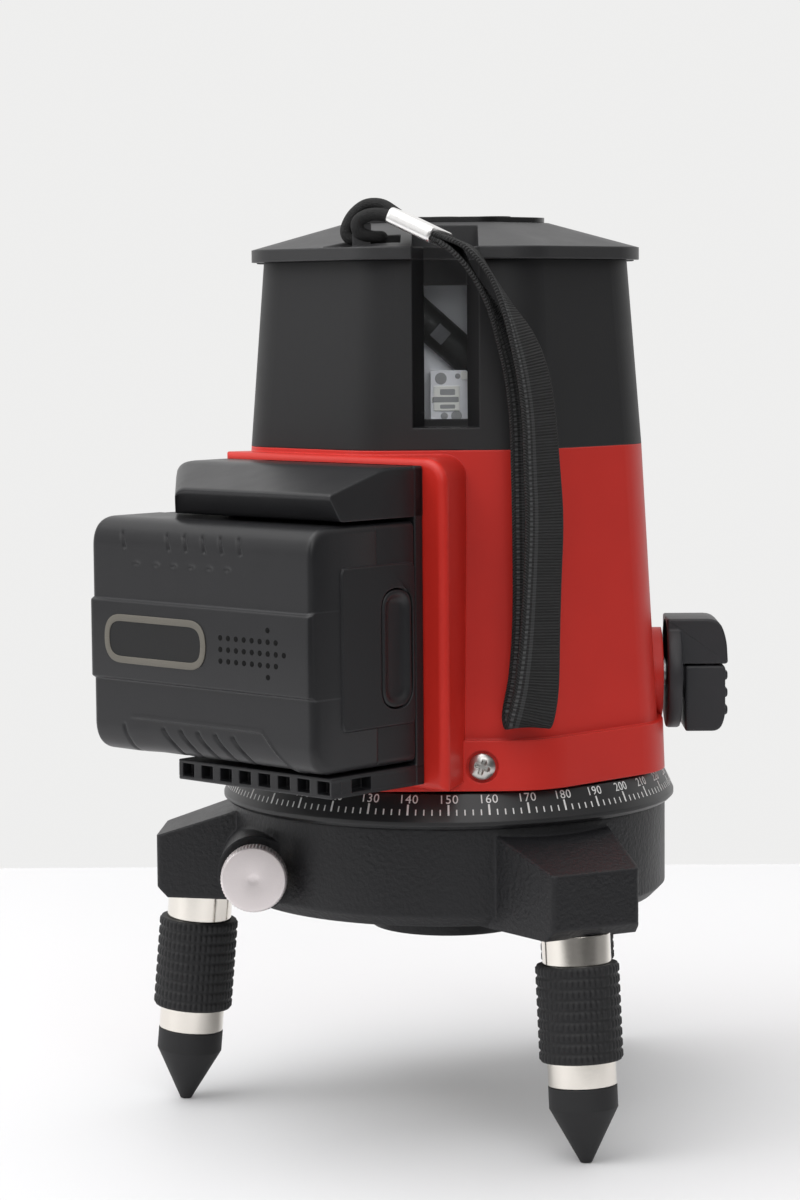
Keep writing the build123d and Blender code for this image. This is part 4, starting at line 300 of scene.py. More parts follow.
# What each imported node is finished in.
NODE_FINISHES = {
    "Crinkle paint": ("base_casting",),
    "Dial plastic": ("graduated_ring",),
    "Red plastic": ("lower_housing",),
    "Head plastic": ("head_housing",),
    "Lid plastic painted lighter": ("lid",),
    "Panel film": ("top_panel",),
    "Window glass": ("window_glasses",),
    "Battery plastic": ("battery_dock", "battery_cover", "battery_case"),
    "Knob plastic": ("lock_knob", "lock_lifter", "battery_latch"),
    "Key rubber": ("key_1", "key_2", "key_3"),
    "Grip rubber": ("clutch_washer", "leg_grip_1", "leg_grip_2", "leg_grip_3"),
    "Tip rubber": ("foot_tip_1", "foot_tip_2", "foot_tip_3"),
    "Braided cord": ("strap_cord",),
    "Webbing": ("strap_webbing",),
    "Bearing plastic": ("spindle_bush", "thrust_washer", "lock_bush"),
    "Board lacquer": ("main_board",),
    "Cell wrap": ("battery_cells",),
    "Barrel black": ("laser_barrels",),
    "Lens glass": ("laser_lenses",),
    "Bead blasted alloy": ("pendulum_block",),
    "Turned aluminium": ("fine_knob",),
    "Cast aluminium": ("chassis_plate", "gimbal_bracket", "gimbal_ring", "pendulum_hanger"),
    "Copper": ("damping_plate",),
    "Brass": (
        "tripod_insert", "worm_bushes", "worm_wheel", "dock_contacts", "pendulum_weight", "battery_contacts",
    ),
    "Steel": (
        "foot_studs", "worm_shaft", "spindle", "spindle_screw", "chassis_screws", "chassis_posts",
        "magnet_carrier", "lock_shaft",
    ),
    "Nickel": (
        "body_screws", "damping_magnets", "strap_ferrule", "leg_barrel_1", "leg_barrel_2", "leg_barrel_3",
    ),
}


# Surfaces


def grid_points(*coordinates):
    """Points of a grid from their coordinates, each spread over the rows and columns that it lacks."""
    return np.stack(np.broadcast_arrays(*coordinates), axis=-1)


def grid_faces(rows, columns, wrap=True, wrap_rows=False):
    """Quads between neighbours of a grid, row by row; wrap joins the last column, or row, to the first."""
    row = np.arange(rows if wrap_rows else rows - 1)[:, None]
    column = np.arange(columns if wrap else columns - 1)[None, :]
    above = (row + 1) % rows
    following = (column + 1) % columns
    corners = (
        row * columns + column,
        row * columns + following,
        above * columns + following,
        above * columns + column,
    )
    return grid_points(*corners).reshape(-1, 4).tolist()


def closed_shell(points):
    """Points and faces of a tube given as rows of rings, with a flat face over its first and last ring."""
    rows, columns = points.shape[:2]
    faces = grid_faces(rows, columns)
    faces.append(list(range(columns - 1, -1, -1)))
    faces.append(list(range((rows - 1) * columns, rows * columns)))
    return points.reshape(-1, 3), faces


def ring_shell(points):
    """Points and faces of a tube whose last ring joins its first, as a sleeve or a frame does."""
    rows, columns = points.shape[:2]
    return points.reshape(-1, 3), grid_faces(rows, columns, wrap_rows=True)


def around(count):
    """Angles of that many even steps round a full turn."""
    return np.linspace(0, 2 * pi, count, endpoint=False)


def turned(profile, segments, swell=0):
    """Rings about the z axis: each (radius, height) of the profile is carried round a full turn.

    swell, where given, adds to the radius as a grid of profile rows by segments."""
    angles = around(segments)
    profile = np.asarray(profile, float)
    radius = profile[:, :1] + swell
    return grid_points(radius * np.cos(angles), radius * np.sin(angles), profile[:, 1:])


def rounded_outline(corners, radii, steps):
    """Closed outline whose corners are cut by a parabola that starts and ends one radius from each corner.

    Where two of these meet, the point that they share is kept once."""
    corners = np.asarray(corners, float)
    back = np.roll(corners, 1, axis=0) - corners
    ahead = np.roll(corners, -1, axis=0) - corners
    reach = np.broadcast_to(np.asarray(radii, float), len(corners))[:, None]
    start = corners + back / np.linalg.norm(back, axis=1, keepdims=True) * reach
    end = corners + ahead / np.linalg.norm(ahead, axis=1, keepdims=True) * reach
    t = np.linspace(0, 1, steps)[None, :, None]
    arcs = (1 - t) ** 2 * start[:, None] + 2 * t * (1 - t) * corners[:, None] + t**2 * end[:, None]
    points = arcs.reshape(-1, 2)
    gap = np.linalg.norm(points - np.roll(points, 1, axis=0), axis=1)
    return points[gap > 1e-6]


def rectangle(left, right, low, high, radii, steps):
    """Rectangle with rounded corners, counterclockwise from its lower left one."""
    return rounded_outline(((left, low), (right, low), (right, high), (left, high)), radii, steps)


def resampled(outline, count, share=1.0):
    """The closed outline at even distances along the first share of itself; one step closes the rest."""
    closed = np.vstack((outline, outline[:1]))
    along = lengths_along(closed)
    even = np.linspace(0, share * along[-1], count, endpoint=False)
    return np.stack([np.interp(even, along, closed[:, axis]) for axis in (0, 1)], axis=1)


def outward_normals(outline):
    """Unit normals of a closed counterclockwise outline, across the chord between each point's neighbours."""
    chord = np.roll(outline, -1, axis=0) - np.roll(outline, 1, axis=0)
    normal = np.stack((chord[:, 1], -chord[:, 0]), axis=1)
    return normal / np.maximum(np.linalg.norm(normal, axis=1, keepdims=True), 1e-9)


def stepped(outline, levels):
    """Rings of the outline, one at each (inset, height): drawn in by the inset and lifted to the height."""
    inset, height = np.asarray(levels, float).T
    flat = outline[None] - outward_normals(outline)[None] * inset[:, None, None]
    return grid_points(flat[..., 0], flat[..., 1], height[:, None])


def slab(outline, low, high, edge):
    """Rings of a slab: the outline carried from low to high, drawn in by a quarter round at each end."""
    bend = np.linspace(0, pi / 2, 6)
    cap = 1.04 * edge + 0.02
    low_inset = np.concatenate(((cap,), edge * (1 - np.sin(bend))))
    high_inset = np.concatenate((edge * (1 - np.cos(bend)), (cap,)))
    low_height = np.concatenate(((low,), low + edge * (1 - np.cos(bend))))
    high_height = np.concatenate((high - edge * (1 - np.sin(bend)), (high,)))
    inset = np.concatenate((low_inset, high_inset))
    return stepped(outline, np.column_stack((inset, np.concatenate((low_height, high_height)))))


def placed(points, origin, axes):
    """Points given along three axes, put in place: each coordinate times its axis, plus the origin."""
    return points @ np.asarray(axes, float) + np.asarray(origin, float)


def quarter_axes(quarter):
    """Axes of one of the four sides: along it, up, and out of it."""
    turn = radians(90 * quarter)
    return np.array(((cos(turn), sin(turn), 0), UP, (sin(turn), -cos(turn), 0)))


def bay_section(points):
    """Places rings drawn on the bay's side, as outward, up and along its face."""
    return points @ np.array((BAY_OUT, UP, BAY_ALONG))


def bay_front(points):
    """Places rings drawn on the bay's face, as along it, up and outward."""
    return points @ np.array((BAY_ALONG, UP, BAY_OUT))


def boxes(low, high):
    """One closed shell per box, from arrays of its lowest and highest corners."""
    pick = np.array(((0, 0, 0), (1, 0, 0), (1, 1, 0), (0, 1, 0), (0, 0, 1), (1, 0, 1), (1, 1, 1), (0, 1, 1)))
    sides = np.array(((3, 2, 1, 0), (4, 5, 6, 7), (0, 1, 5, 4), (1, 2, 6, 5), (2, 3, 7, 6), (3, 0, 4, 7)))
    low = np.asarray(low, float)[:, None]
    high = np.asarray(high, float)[:, None]
    points = np.where(pick[None] == 1, high, low)
    faces = sides[None] + 8 * np.arange(len(points))[:, None, None]
    return points.reshape(-1, 3), faces.reshape(-1, 4).tolist()


def smooth_step(value, low, high):
    """0 below low, 1 above high, and a smooth S between them."""
    t = np.clip((value - low) / (high - low), 0, 1)
    return t * t * (3 - 2 * t)


def bell(value, middle, width):
    """1 at the middle, falling away on both sides within about two widths."""
    return np.exp(-(((value - middle) / width) ** 2))


def quarter_round(size, distance):
    """Depth of a rounded edge of that size at a distance from where it starts: a quarter circle."""
    return size - np.sqrt(size**2 - np.clip(size - distance, 0, size) ** 2)


def drawn_in(values, start, size, inset):
    """Values moved towards start row by row, so that one a size away from it moves by its row's inset."""
    return start + (values - start) * (1 - inset / size)[:, None]


# Pieces


def finish_of(name):
    """The material of that name, which the finishes operator has made."""
    material = bpy.data.materials.get(name)
    if material is None:
        raise RuntimeError(f"the finish {name} is not made yet")
    return material


def make_piece(name, shells, finish, body, slot, replaces=(), sharp=32):
    """One mesh object in metres from shells of points in millimetres and faces, riding on a body."""
    points = []
    faces = []
    for shell_points, shell_faces in shells:
        start = sum(len(group) for group in points)
        points.append(np.asarray(shell_points, float))
        faces.extend([start + corner for corner in face] for face in shell_faces)
    mesh = bpy.data.meshes.new(name)
    mesh.from_pydata((np.concatenate(points) * MM).tolist(), [], faces)
    mesh.materials.append(finish_of(finish))
    mesh.shade_smooth()
    mesh.set_sharp_from_angle(angle=radians(sharp))
    piece = bpy.data.objects.new(name, mesh)
    bpy.context.scene.collection.objects.link(piece)
    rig.ride(piece, body)
    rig.slot(piece, slot)
    if replaces:
        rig.replaces(piece, *replaces)
    return piece


def curve_mesh(curve):
    """Points and faces of a curve or text as a mesh; the curve itself is removed."""
    holder = bpy.data.objects.new("Curve", curve)
    mesh = bpy.data.meshes.new_from_object(holder)
    points = np.zeros(len(mesh.vertices) * 3)
    mesh.vertices.foreach_get("co", points)
    faces = [list(face.vertices) for face in mesh.polygons]
    bpy.data.meshes.remove(mesh)
    bpy.data.objects.remove(holder)
    bpy.data.curves.remove(curve)
    return points.reshape(-1, 3), faces


def nurbs_points(route):
    """Points of the order 3 NURBS curve that has the route as its control points."""
    curve = bpy.data.curves.new("Route", "CURVE")
    curve.dimensions = "3D"
    spline = curve.splines.new("NURBS")
    spline.points.add(len(route) - 1)
    spline.points.foreach_set("co", np.column_stack((route, np.ones(len(route)))).ravel())
    spline.order_u = 3
    spline.use_endpoint_u = True
    spline.resolution_u = 10
    return curve_mesh(curve)[0]


def lengths_along(path):
    """Distance along the path at each of its points."""
    steps = np.linalg.norm(np.diff(path, axis=0), axis=1)
    return np.concatenate(((0,), np.cumsum(steps)))


def strap_surface(path, across, outline):
    """Rings of an outline carried along a path: its x lies across the strap, its y off the strap's face."""
    heading = np.gradient(path, axis=0)
    heading = heading / np.linalg.norm(heading, axis=1, keepdims=True)
    across = across - heading * np.sum(across * heading, axis=1, keepdims=True)
    across = across / np.linalg.norm(across, axis=1, keepdims=True)
    off = np.cross(across, heading)
    side = across[:, None] * outline[None, :, :1] + off[:, None] * outline[None, :, 1:]
    return path[:, None] + side


def weave_values(piece, across, along, off):
    """Gives each vertex its own across, along and off values, for a pattern that follows the piece."""
    values = grid_points(across[None], along[:, None], off[None])
    attribute = piece.data.attributes.new("weave", "FLOAT_VECTOR", "POINT")
    attribute.data.foreach_set("vector", values.ravel())


# Finishes


def feed(node, inputs):
    """Gives a node its inputs, by label or by place: a socket is linked, and any other value is set."""
    for label, value in inputs.items():
        if isinstance(value, bpy.types.NodeSocket):
            node.id_data.links.new(value, node.inputs[label])
        else:
            node.inputs[label].default_value = value


def new_node(tree, kind, inputs=None, **settings):
    """A new shader node of that kind, with its settings and then its inputs."""
    node = tree.nodes.new(kind)
    for label, value in settings.items():
        setattr(node, label, value)
    feed(node, inputs or {})
    return node


def math_value(tree, operation, *values, **settings):
    """The result of a math node on up to three values."""
    node = new_node(tree, "ShaderNodeMath", dict(enumerate(values)), operation=operation, **settings)
    return node.outputs["Value"]


def scaled_colour(tree, colour, value):
    """A colour times a value."""
    scaled = new_node(tree, "ShaderNodeVectorMath", {"Vector": colour, "Scale": value}, operation="SCALE")
    return scaled.outputs["Vector"]


def new_group(name, inputs, outputs):
    """An empty shader node group with its sockets; returns the group, its entry's sockets and its exit."""
    group = bpy.data.node_groups.new(name, "ShaderNodeTree")
    for label, kind, value in inputs:
        socket = group.interface.new_socket(label, in_out="INPUT", socket_type=kind)
        if value is not None:
            socket.default_value = value
    for label, kind in outputs:
        group.interface.new_socket(label, in_out="OUTPUT", socket_type=kind)
    return group, group.nodes.new("NodeGroupInput").outputs, group.nodes.new("NodeGroupOutput")


def object_noise(tree, scale, detail, roughness=0.5):
    """Noise on the piece's own coordinates, as a value."""
    place = new_node(tree, "ShaderNodeTexCoord").outputs["Object"]
    values = {"Vector": place, "Scale": scale, "Detail": detail, "Roughness": roughness}
    return new_node(tree, "ShaderNodeTexNoise", values).outputs["Fac"]


def drifting(tree, noise, amount, base, **settings):
    """The base, plus an amount times the noise about its middle."""
    centred = math_value(tree, "SUBTRACT", noise, 0.5)
    return math_value(tree, "MULTIPLY_ADD", centred, amount, base, **settings)


def group_soft_edge():
    """Soft edge: rounds the shading over sharp edges, and marks them where that bends the normal."""
    group, enter, leave = new_group(
        "Soft edge",
        (("Radius", "NodeSocketFloat", 0.0004),),
        (("Normal", "NodeSocketVector"), ("Edge", "NodeSocketFloat")),
    )
    soft = new_node(group, "ShaderNodeBevel", {"Radius": enter["Radius"]}, samples=6).outputs["Normal"]
    plain = new_node(group, "ShaderNodeNewGeometry").outputs["Normal"]
    agree = new_node(group, "ShaderNodeVectorMath", {0: soft, 1: plain}, operation="DOT_PRODUCT")
    limits = {"Value": agree.outputs["Value"], "From Min": 0.99, "From Max": 0.75}
    edge = new_node(group, "ShaderNodeMapRange", limits).outputs["Result"]
    feed(leave, {"Normal": soft, "Edge": edge})


def group_grain():
    """Moulded grain: fine noise as bump on top of a given normal."""
    group, enter, leave = new_group(
        "Moulded grain",
        (
            ("Normal", "NodeSocketVector", None),
            ("Scale", "NodeSocketFloat", 2500.0),
            ("Height", "NodeSocketFloat", 0.00003),
        ),
        (("Normal", "NodeSocketVector"),),
    )
    noise = object_noise(group, enter["Scale"], 2.0, 0.6)
    values = {"Height": noise, "Distance": enter["Height"], "Normal": enter["Normal"]}
    bump = new_node(group, "ShaderNodeBump", values)
    feed(leave, {"Normal": bump.outputs["Normal"]})


def group_tone():
    """Tone drift: a colour made slightly lighter and darker by broad noise, and lighter along worn edges."""
    group, enter, leave = new_group(
        "Tone drift",
        (
            ("Colour", "NodeSocketColor", (0.5, 0.5, 0.5, 1)),
            ("Amount", "NodeSocketFloat", 0.2),
            ("Scale", "NodeSocketFloat", 60.0),
            ("Edge", "NodeSocketFloat", 0.0),
            ("Wear", "NodeSocketFloat", 0.3),
        ),
        (("Colour", "NodeSocketColor"),),
    )
    drift = drifting(group, object_noise(group, enter["Scale"], 4.0), enter["Amount"], 1.0)
    worn = math_value(group, "MULTIPLY_ADD", enter["Edge"], enter["Wear"], drift)
    feed(leave, {"Colour": scaled_colour(group, enter["Colour"], worn)})


def group_gloss():
    """Handled gloss: a roughness that drifts with broad noise, as skin and dust leave it."""
    group, enter, leave = new_group(
        "Handled gloss",
        (
            ("Roughness", "NodeSocketFloat", 0.4),
            ("Spread", "NodeSocketFloat", 0.1),
            ("Scale", "NodeSocketFloat", 120.0),
        ),
        (("Roughness", "NodeSocketFloat"),),
    )
    noise = object_noise(group, enter["Scale"], 5.0, 0.65)
    feed(leave, {"Roughness": drifting(group, noise, enter["Spread"], enter["Roughness"], use_clamp=True)})


def placed_group(tree, name, inputs):
    """The outputs of a node that uses the group of that name, with its inputs."""
    return new_node(tree, "ShaderNodeGroup", inputs, node_tree=bpy.data.node_groups[name]).outputs


def principled(name):
    """A new material with one Principled shader; returns its tree and the shader."""
    material = bpy.data.materials.new(name)
    material.use_nodes = True
    return material.node_tree, material.node_tree.nodes["Principled BSDF"]


def moulded(
    name,
    colour,
    roughness,
    edge=0.0004,
    wear=0.35,
    grain=2600.0,
    height=0.00002,
    tone=0.18,
    sheen=0.5,
    metallic=0.0,
    coat=0.0,
):
    """A moulded or painted finish: drifting tone, worn soft edges, handled gloss and fine grain."""
    tree, shader = principled(name)
    soft = placed_group(tree, "Soft edge", {"Radius": edge})
    values = {"Colour": (*colour, 1), "Amount": tone, "Wear": wear, "Edge": soft["Edge"]}
    shade = placed_group(tree, "Tone drift", values)
    gloss = placed_group(tree, "Handled gloss", {"Roughness": roughness, "Spread": 0.16})
    fine = placed_group(tree, "Moulded grain", {"Scale": grain, "Height": height, "Normal": soft["Normal"]})
    feed(shader, {"Base Color": shade["Colour"], "Roughness": gloss["Roughness"], "Normal": fine["Normal"]})
    feed(shader, {"Specular IOR Level": sheen, "Metallic": metallic, "Coat Weight": coat})


def metal(name, colour, roughness, grain=900.0, height=0.000004):
    """A metal finish: the moulded layers over a metallic shader, with fainter grain and tone."""
    moulded(name, colour, roughness, 0.0003, 0.1, grain, height, tone=0.08, metallic=1.0)


class LevelColours(bpy.types.PropertyGroup):
    """Colours of the visible finishes."""

    housing_red: FloatVectorProperty(
        name="Housing red", description="Colour of the lower housing",
        default=(0.56, 0.022, 0.014), subtype="COLOR", min=0, max=1,
    )
    head_black: FloatVectorProperty(
        name="Head black", description="Colour of the head and its lid",
        default=(0.015, 0.015, 0.016), subtype="COLOR", min=0, max=1,
    )
    battery_grey: FloatVectorProperty(
        name="Battery grey", description="Colour of the battery and its dock",
        default=(0.0135, 0.0135, 0.015), subtype="COLOR", min=0, max=1,
    )
    base_black: FloatVectorProperty(
        name="Base black", description="Colour of the crinkle paint on the base",
        default=(0.011, 0.011, 0.0125), subtype="COLOR", min=0, max=1,
    )
    strap_black: FloatVectorProperty(
        name="Strap black", description="Colour of the webbing and the cord",
        default=(0.0095, 0.0095, 0.0097), subtype="COLOR", min=0, max=1,
    )
    plating: FloatVectorProperty(
        name="Plating", description="Colour of the nickel on the legs",
        default=(0.80, 0.76, 0.70), subtype="COLOR", min=0, max=1,
    )
    stage_white: FloatVectorProperty(
        name="Stage white", description="Colour of the floor",
        default=(0.75, 0.75, 0.76), subtype="COLOR", min=0, max=1,
    )


class LevelSizes(bpy.types.PropertyGroup):
    """Sizes and counts of the detailed pieces."""

    webbing_width: FloatProperty(
        name="Webbing width", description="Width of the wrist strap's webbing",
        default=0.010, unit="LENGTH", min=0.002,
    )
    webbing_thickness: FloatProperty(
        name="Webbing thickness", description="Thickness of the wrist strap's webbing",
        default=0.0011, unit="LENGTH", min=0.0003,
    )
    grip_ribs: IntProperty(
        name="Grip ribs", description="Rows of nubs down each leg grip", default=9, min=1
    )
    grip_nubs: IntProperty(
        name="Grip nubs", description="Nubs round each row of a leg grip", default=44, min=4
    )
    dial_step: IntProperty(
        name="Dial step", description="Degrees between two numbers of the dial", default=10, min=1
    )


class LEVEL_OT_finishes(bpy.types.Operator):
    """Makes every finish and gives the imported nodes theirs"""

    bl_idname = "level.finishes"
    bl_label = "Finishes"

    def execute(self, context):
        colours = context.scene.level_colours
        # The lid takes the head's black made 1.5 times lighter. This is painted light on its top, where the light from
        # above falls.
        head_black_painted_lighter = [1.5 * value for value in colours.head_black]
        group_soft_edge()
        group_grain()
        group_tone()
        group_gloss()
        moulded("Red plastic", colours.housing_red, 0.42, edge=0.0006, wear=0.25, height=0.00001, sheen=0.36)
        moulded("Head plastic", colours.head_black, 0.52, edge=0.0005, wear=1.2, sheen=0.36)
        moulded("Lid plastic painted lighter", head_black_painted_lighter, 0.46, edge=0.0006, wear=1.2, sheen=0.55)
        moulded("Battery plastic", colours.battery_grey, 0.38, edge=0.0005, wear=1.8, sheen=0.4)
        moulded("Knob plastic", (0.026, 0.026, 0.029), 0.45, edge=0.0006, wear=1.2, sheen=0.4)
        moulded("Dial plastic", (0.014, 0.014, 0.015), 0.38, edge=0.0004, wear=0.8)
        moulded("Panel film", (0.012, 0.012, 0.013), 0.3, edge=0.0003, wear=0.5)
        moulded("Key rubber", (0.03, 0.03, 0.032), 0.6, edge=0.0004)
        moulded("Grip rubber", (0.011, 0.011, 0.012), 0.6, edge=0.0003, wear=1.0, sheen=0.4)
        moulded("Tip rubber", (0.013, 0.013, 0.014), 0.62, edge=0.0005, wear=0.8, sheen=0.4)
        moulded("Bearing plastic", (0.66, 0.62, 0.52), 0.45)
        moulded("Board lacquer", (0.01, 0.09, 0.03), 0.3, edge=0.0002)
        moulded("Cell wrap", (0.03, 0.11, 0.24), 0.3, edge=0.0002)
        moulded("Barrel black", (0.006, 0.006, 0.0065), 0.45, edge=0.0003, wear=0.8, sheen=0.25)
        moulded("Badge plate", (0.012, 0.012, 0.0125), 0.5, edge=0.0002, wear=0.5, sheen=0.3)
        moulded("Badge rim", (0.13, 0.12, 0.10), 0.5, edge=0.0002, wear=0.3)
        moulded("Dot ink", (0.005, 0.005, 0.005), 0.8, edge=0.0001, wear=0.0, sheen=0.15)
        moulded("Module painted shade", (0.34, 0.34, 0.35), 0.5, edge=0.0002)
        moulded("Bright alloy", (0.9, 0.89, 0.86), 0.35, edge=0.0002, wear=0.1)
        moulded("Bead blasted alloy", (0.88, 0.88, 0.93), 0.45, edge=0.0003, wear=0.1)
        moulded("Dial white", (0.75, 0.75, 0.74), 0.5, edge=0.0001, wear=0.0)
        moulded("Crinkle paint", colours.base_black, 0.46, 0.0012, 1.2, 1000.0, 0.0002, sheen=0.36)
        moulded("Turned aluminium", (0.80, 0.74, 0.74), 0.34, edge=0.0003, wear=0.1, metallic=0.6)
        moulded("Lens glass", (0.09, 0.09, 0.1), 0.15, edge=0.0002, coat=0.6)
        metal("Nickel", colours.plating, 0.14)
        metal("Polished sleeve", (0.93, 0.92, 0.91), 0.34)
        metal("Steel", (0.55, 0.55, 0.56), 0.3)
        metal("Screw steel", (0.55, 0.54, 0.52), 0.3)
        metal("Cast aluminium", (0.72, 0.72, 0.74), 0.36, grain=1600.0, height=0.00001)
        metal("Brass", (0.71, 0.5, 0.2), 0.28)
        metal("Copper", (0.72, 0.36, 0.22), 0.3)
        self.window_glass()
        self.webbing(colours.strap_black)
        self.braid(colours.strap_black)
        for finish, nodes in NODE_FINISHES.items():
            for node in nodes:
                mesh = frame["nodes"][node].data
                mesh.materials.clear()
                mesh.materials.append(finish_of(finish))
        return {"FINISHED"}

    def window_glass(self):
        """Clear glass with faint smears in its gloss; shadow rays pass so that the head is lit inside."""
        tree, shader = principled("Window glass")
        gloss = placed_group(tree, "Handled gloss", {"Roughness": 0.02, "Spread": 0.03})
        feed(shader, {"Base Color": (0.96, 0.98, 0.98, 1), "IOR": 1.46, "Transmission Weight": 1.0})
        feed(shader, {"Roughness": gloss["Roughness"]})
        clear = new_node(tree, "ShaderNodeBsdfTransparent").outputs["BSDF"]
        shadow = new_node(tree, "ShaderNodeLightPath").outputs["Is Shadow Ray"]
        mix = new_node(tree, "ShaderNodeMixShader", {"Fac": shadow, 1: shader.outputs["BSDF"], 2: clear})
        feed(tree.nodes["Material Output"], {"Surface": mix.outputs["Shader"]})

    def webbing(self, colour):
        """Woven webbing on the strap's own values: herringbone ribs, darker in their valleys and lighter on their
        crests, partly the weave's own tone and partly painted shade and sheen; stitches by one edge, a pale thread.
        """
        tree, shader = principled("Webbing")
        weave = new_node(tree, "ShaderNodeAttribute", attribute_name="weave").outputs["Vector"]
        parts = new_node(tree, "ShaderNodeSeparateXYZ", {"Vector": weave}).outputs
        flat = new_node(tree, "ShaderNodeCombineXYZ", {"X": parts["X"], "Y": parts["Y"]}).outputs["Vector"]
        ribs = new_node(
            tree,
            "ShaderNodeTexWave",
            {"Vector": flat, "Scale": 1.0, "Distortion": 2.0, "Detail": 3.0, "Detail Scale": 3.0},
            wave_type="BANDS",
            bands_direction="DIAGONAL",
        ).outputs["Fac"]
        bump = new_node(tree, "ShaderNodeBump", {"Height": ribs, "Distance": 0.00025})
        # The ribs' valleys take 0.3 of the strap's colour and their crests 2.4 of it. This is partly the weave's own
        # tone and partly painted shade and sheen.
        dark, light = ((*[share * value for value in colour], 1) for share in (0.3, 2.4))
        shade = self.mixed(tree, ribs, dark, light)
        stitch_place, stitch_half, stitch_length = 3.9, 0.35, 0.55
        thread_place, thread_half, thread_share = 2.5, 0.45, 0.18
        pale = (0.16, 0.16, 0.165, 1)
        beat = math_value(tree, "PINGPONG", parts["Y"], stitch_length)
        row = self.stripe(tree, parts["Z"], stitch_place, stitch_half)
        stitches = math_value(tree, "MULTIPLY", row, beat)
        line = self.stripe(tree, parts["Z"], thread_place, thread_half)
        thread = math_value(tree, "MULTIPLY_ADD", line, thread_share, stitches)
        shade = self.mixed(tree, thread, shade, pale)
        feed(shader, {"Base Color": shade, "Normal": bump.outputs["Normal"], "Roughness": 0.85})

    def mixed(self, tree, share, first, second):
        """The first colour, giving way to the second as the share goes from 0 to 1."""
        colours = {"Factor": share, "A": first, "B": second}
        return new_node(tree, "ShaderNodeMix", colours, data_type="RGBA").outputs["Result"]

    def stripe(self, tree, value, middle, half):
        """1 within half of the middle and 0 outside it."""
        return math_value(tree, "COMPARE", value, middle, half)

    def braid(self, colour):
        """Braided cord: crossing strands as bump on the cord's own turn and length values."""
        tree, shader = principled("Braided cord")
        weave = new_node(tree, "ShaderNodeAttribute", attribute_name="weave").outputs["Vector"]
        strands = new_node(tree, "ShaderNodeTexVoronoi", {"Vector": weave, "Scale": 7.0}).outputs["Distance"]
        bump = new_node(tree, "ShaderNodeBump", {"Height": strands, "Distance": 0.00015}, invert=True)
        dark = (*[0.7 * value for value in colour], 1)
        shade = placed_group(tree, "Tone drift", {"Colour": dark, "Amount": 0.5, "Scale": 2000.0})
        feed(shader, {"Base Color": shade["Colour"], "Normal": bump.outputs["Normal"], "Roughness": 0.8})


class LEVEL_OT_strap(bpy.types.Operator):
    """Builds the wrist strap's webbing, its cord loop and its crimped sleeve"""

    bl_idname = "level.strap"
    bl_label = "Wrist strap"

    def execute(self, context):
        sizes = context.scene.level_sizes
        cord = self.cord_loop()
        sleeve = self.sleeve()
        path = nurbs_points(WEBBING_ROUTE[:, :3])
        turn = np.radians(nurbs_points(WEBBING_ROUTE[:, 3:0:-1])[:, 0])
        across = np.column_stack((np.sin(turn), -np.cos(turn), WEBBING_TILT * np.cos(turn)))
        half = sizes.webbing_width / MM / 2
        thick = sizes.webbing_thickness / MM / 2
        outline = rectangle(-half, half, -thick, thick, thick, 5)
        shells = [closed_shell(strap_surface(path, across, outline))]
        webbing = make_piece(
            "wrist_webbing", shells, "Webbing", "turret", "strap_fabric", ["strap_webbing"], 60
        )
        along = lengths_along(path)
        weave_values(webbing, np.abs(outline[:, 0]), along, outline[:, 0])
        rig.cord(
            webbing,
            exit=path[0] * MM,
            length=along[-1] * MM,
            diameter=sizes.webbing_width,
            far_end="object",
            stiffness="limp",
            lay="hanging",
            path=path * MM,
            with_pieces=[cord, sleeve],
        )
        return {"FINISHED"}

    def sleeve(self):
        """Crimped sleeve about the strap's ends: a rounded outline along a line, drawn in at both ends."""
        along = np.array((0.0, 0.004, 0.012, 0.03, 0.06, 0.5, 0.94, 0.97, 0.988, 0.996, 1.0))
        path = SLEEVE_START + along[:, None] * SLEEVE_RUN
        across = np.broadcast_to(SLEEVE_ACROSS, path.shape)
        lip, pinch = 0.03, 0.08
        rim = 1 - pinch * np.clip(1 - np.minimum(along, 1 - along) / lip, 0, 1) ** 2
        corners = rectangle(-SLEEVE_WIDE, SLEEVE_WIDE, -SLEEVE_DEEP, SLEEVE_DEEP, SLEEVE_ROUND, 8)
        outline = resampled(corners, 64)
        middle = path[:, None]
        rings = middle + (strap_surface(path, across, outline) - middle) * rim[:, None, None]
        shells = [closed_shell(rings)]
        return make_piece(
            "crimp_sleeve", shells, "Polished sleeve", "turret", "nickel", ["strap_ferrule"], 50
        )

    def cord_loop(self):
        """Tube: a circle carried along the cord's route."""
        path = nurbs_points(CORD_ROUTE)
        circle = np.stack((np.cos(around(20)), np.sin(around(20))), axis=1)
        across = np.broadcast_to(np.array((0.0, 1.0, 0.0)), path.shape)
        shell = closed_shell(strap_surface(path, across, CORD_RADIUS * circle))
        cord = make_piece("lid_cord", [shell], "Braided cord", "turret", "strap_fabric", ["strap_cord"], 60)
        weave_values(cord, circle[:, 0], lengths_along(path) / BRAID_PITCH, circle[:, 1])
        return cord


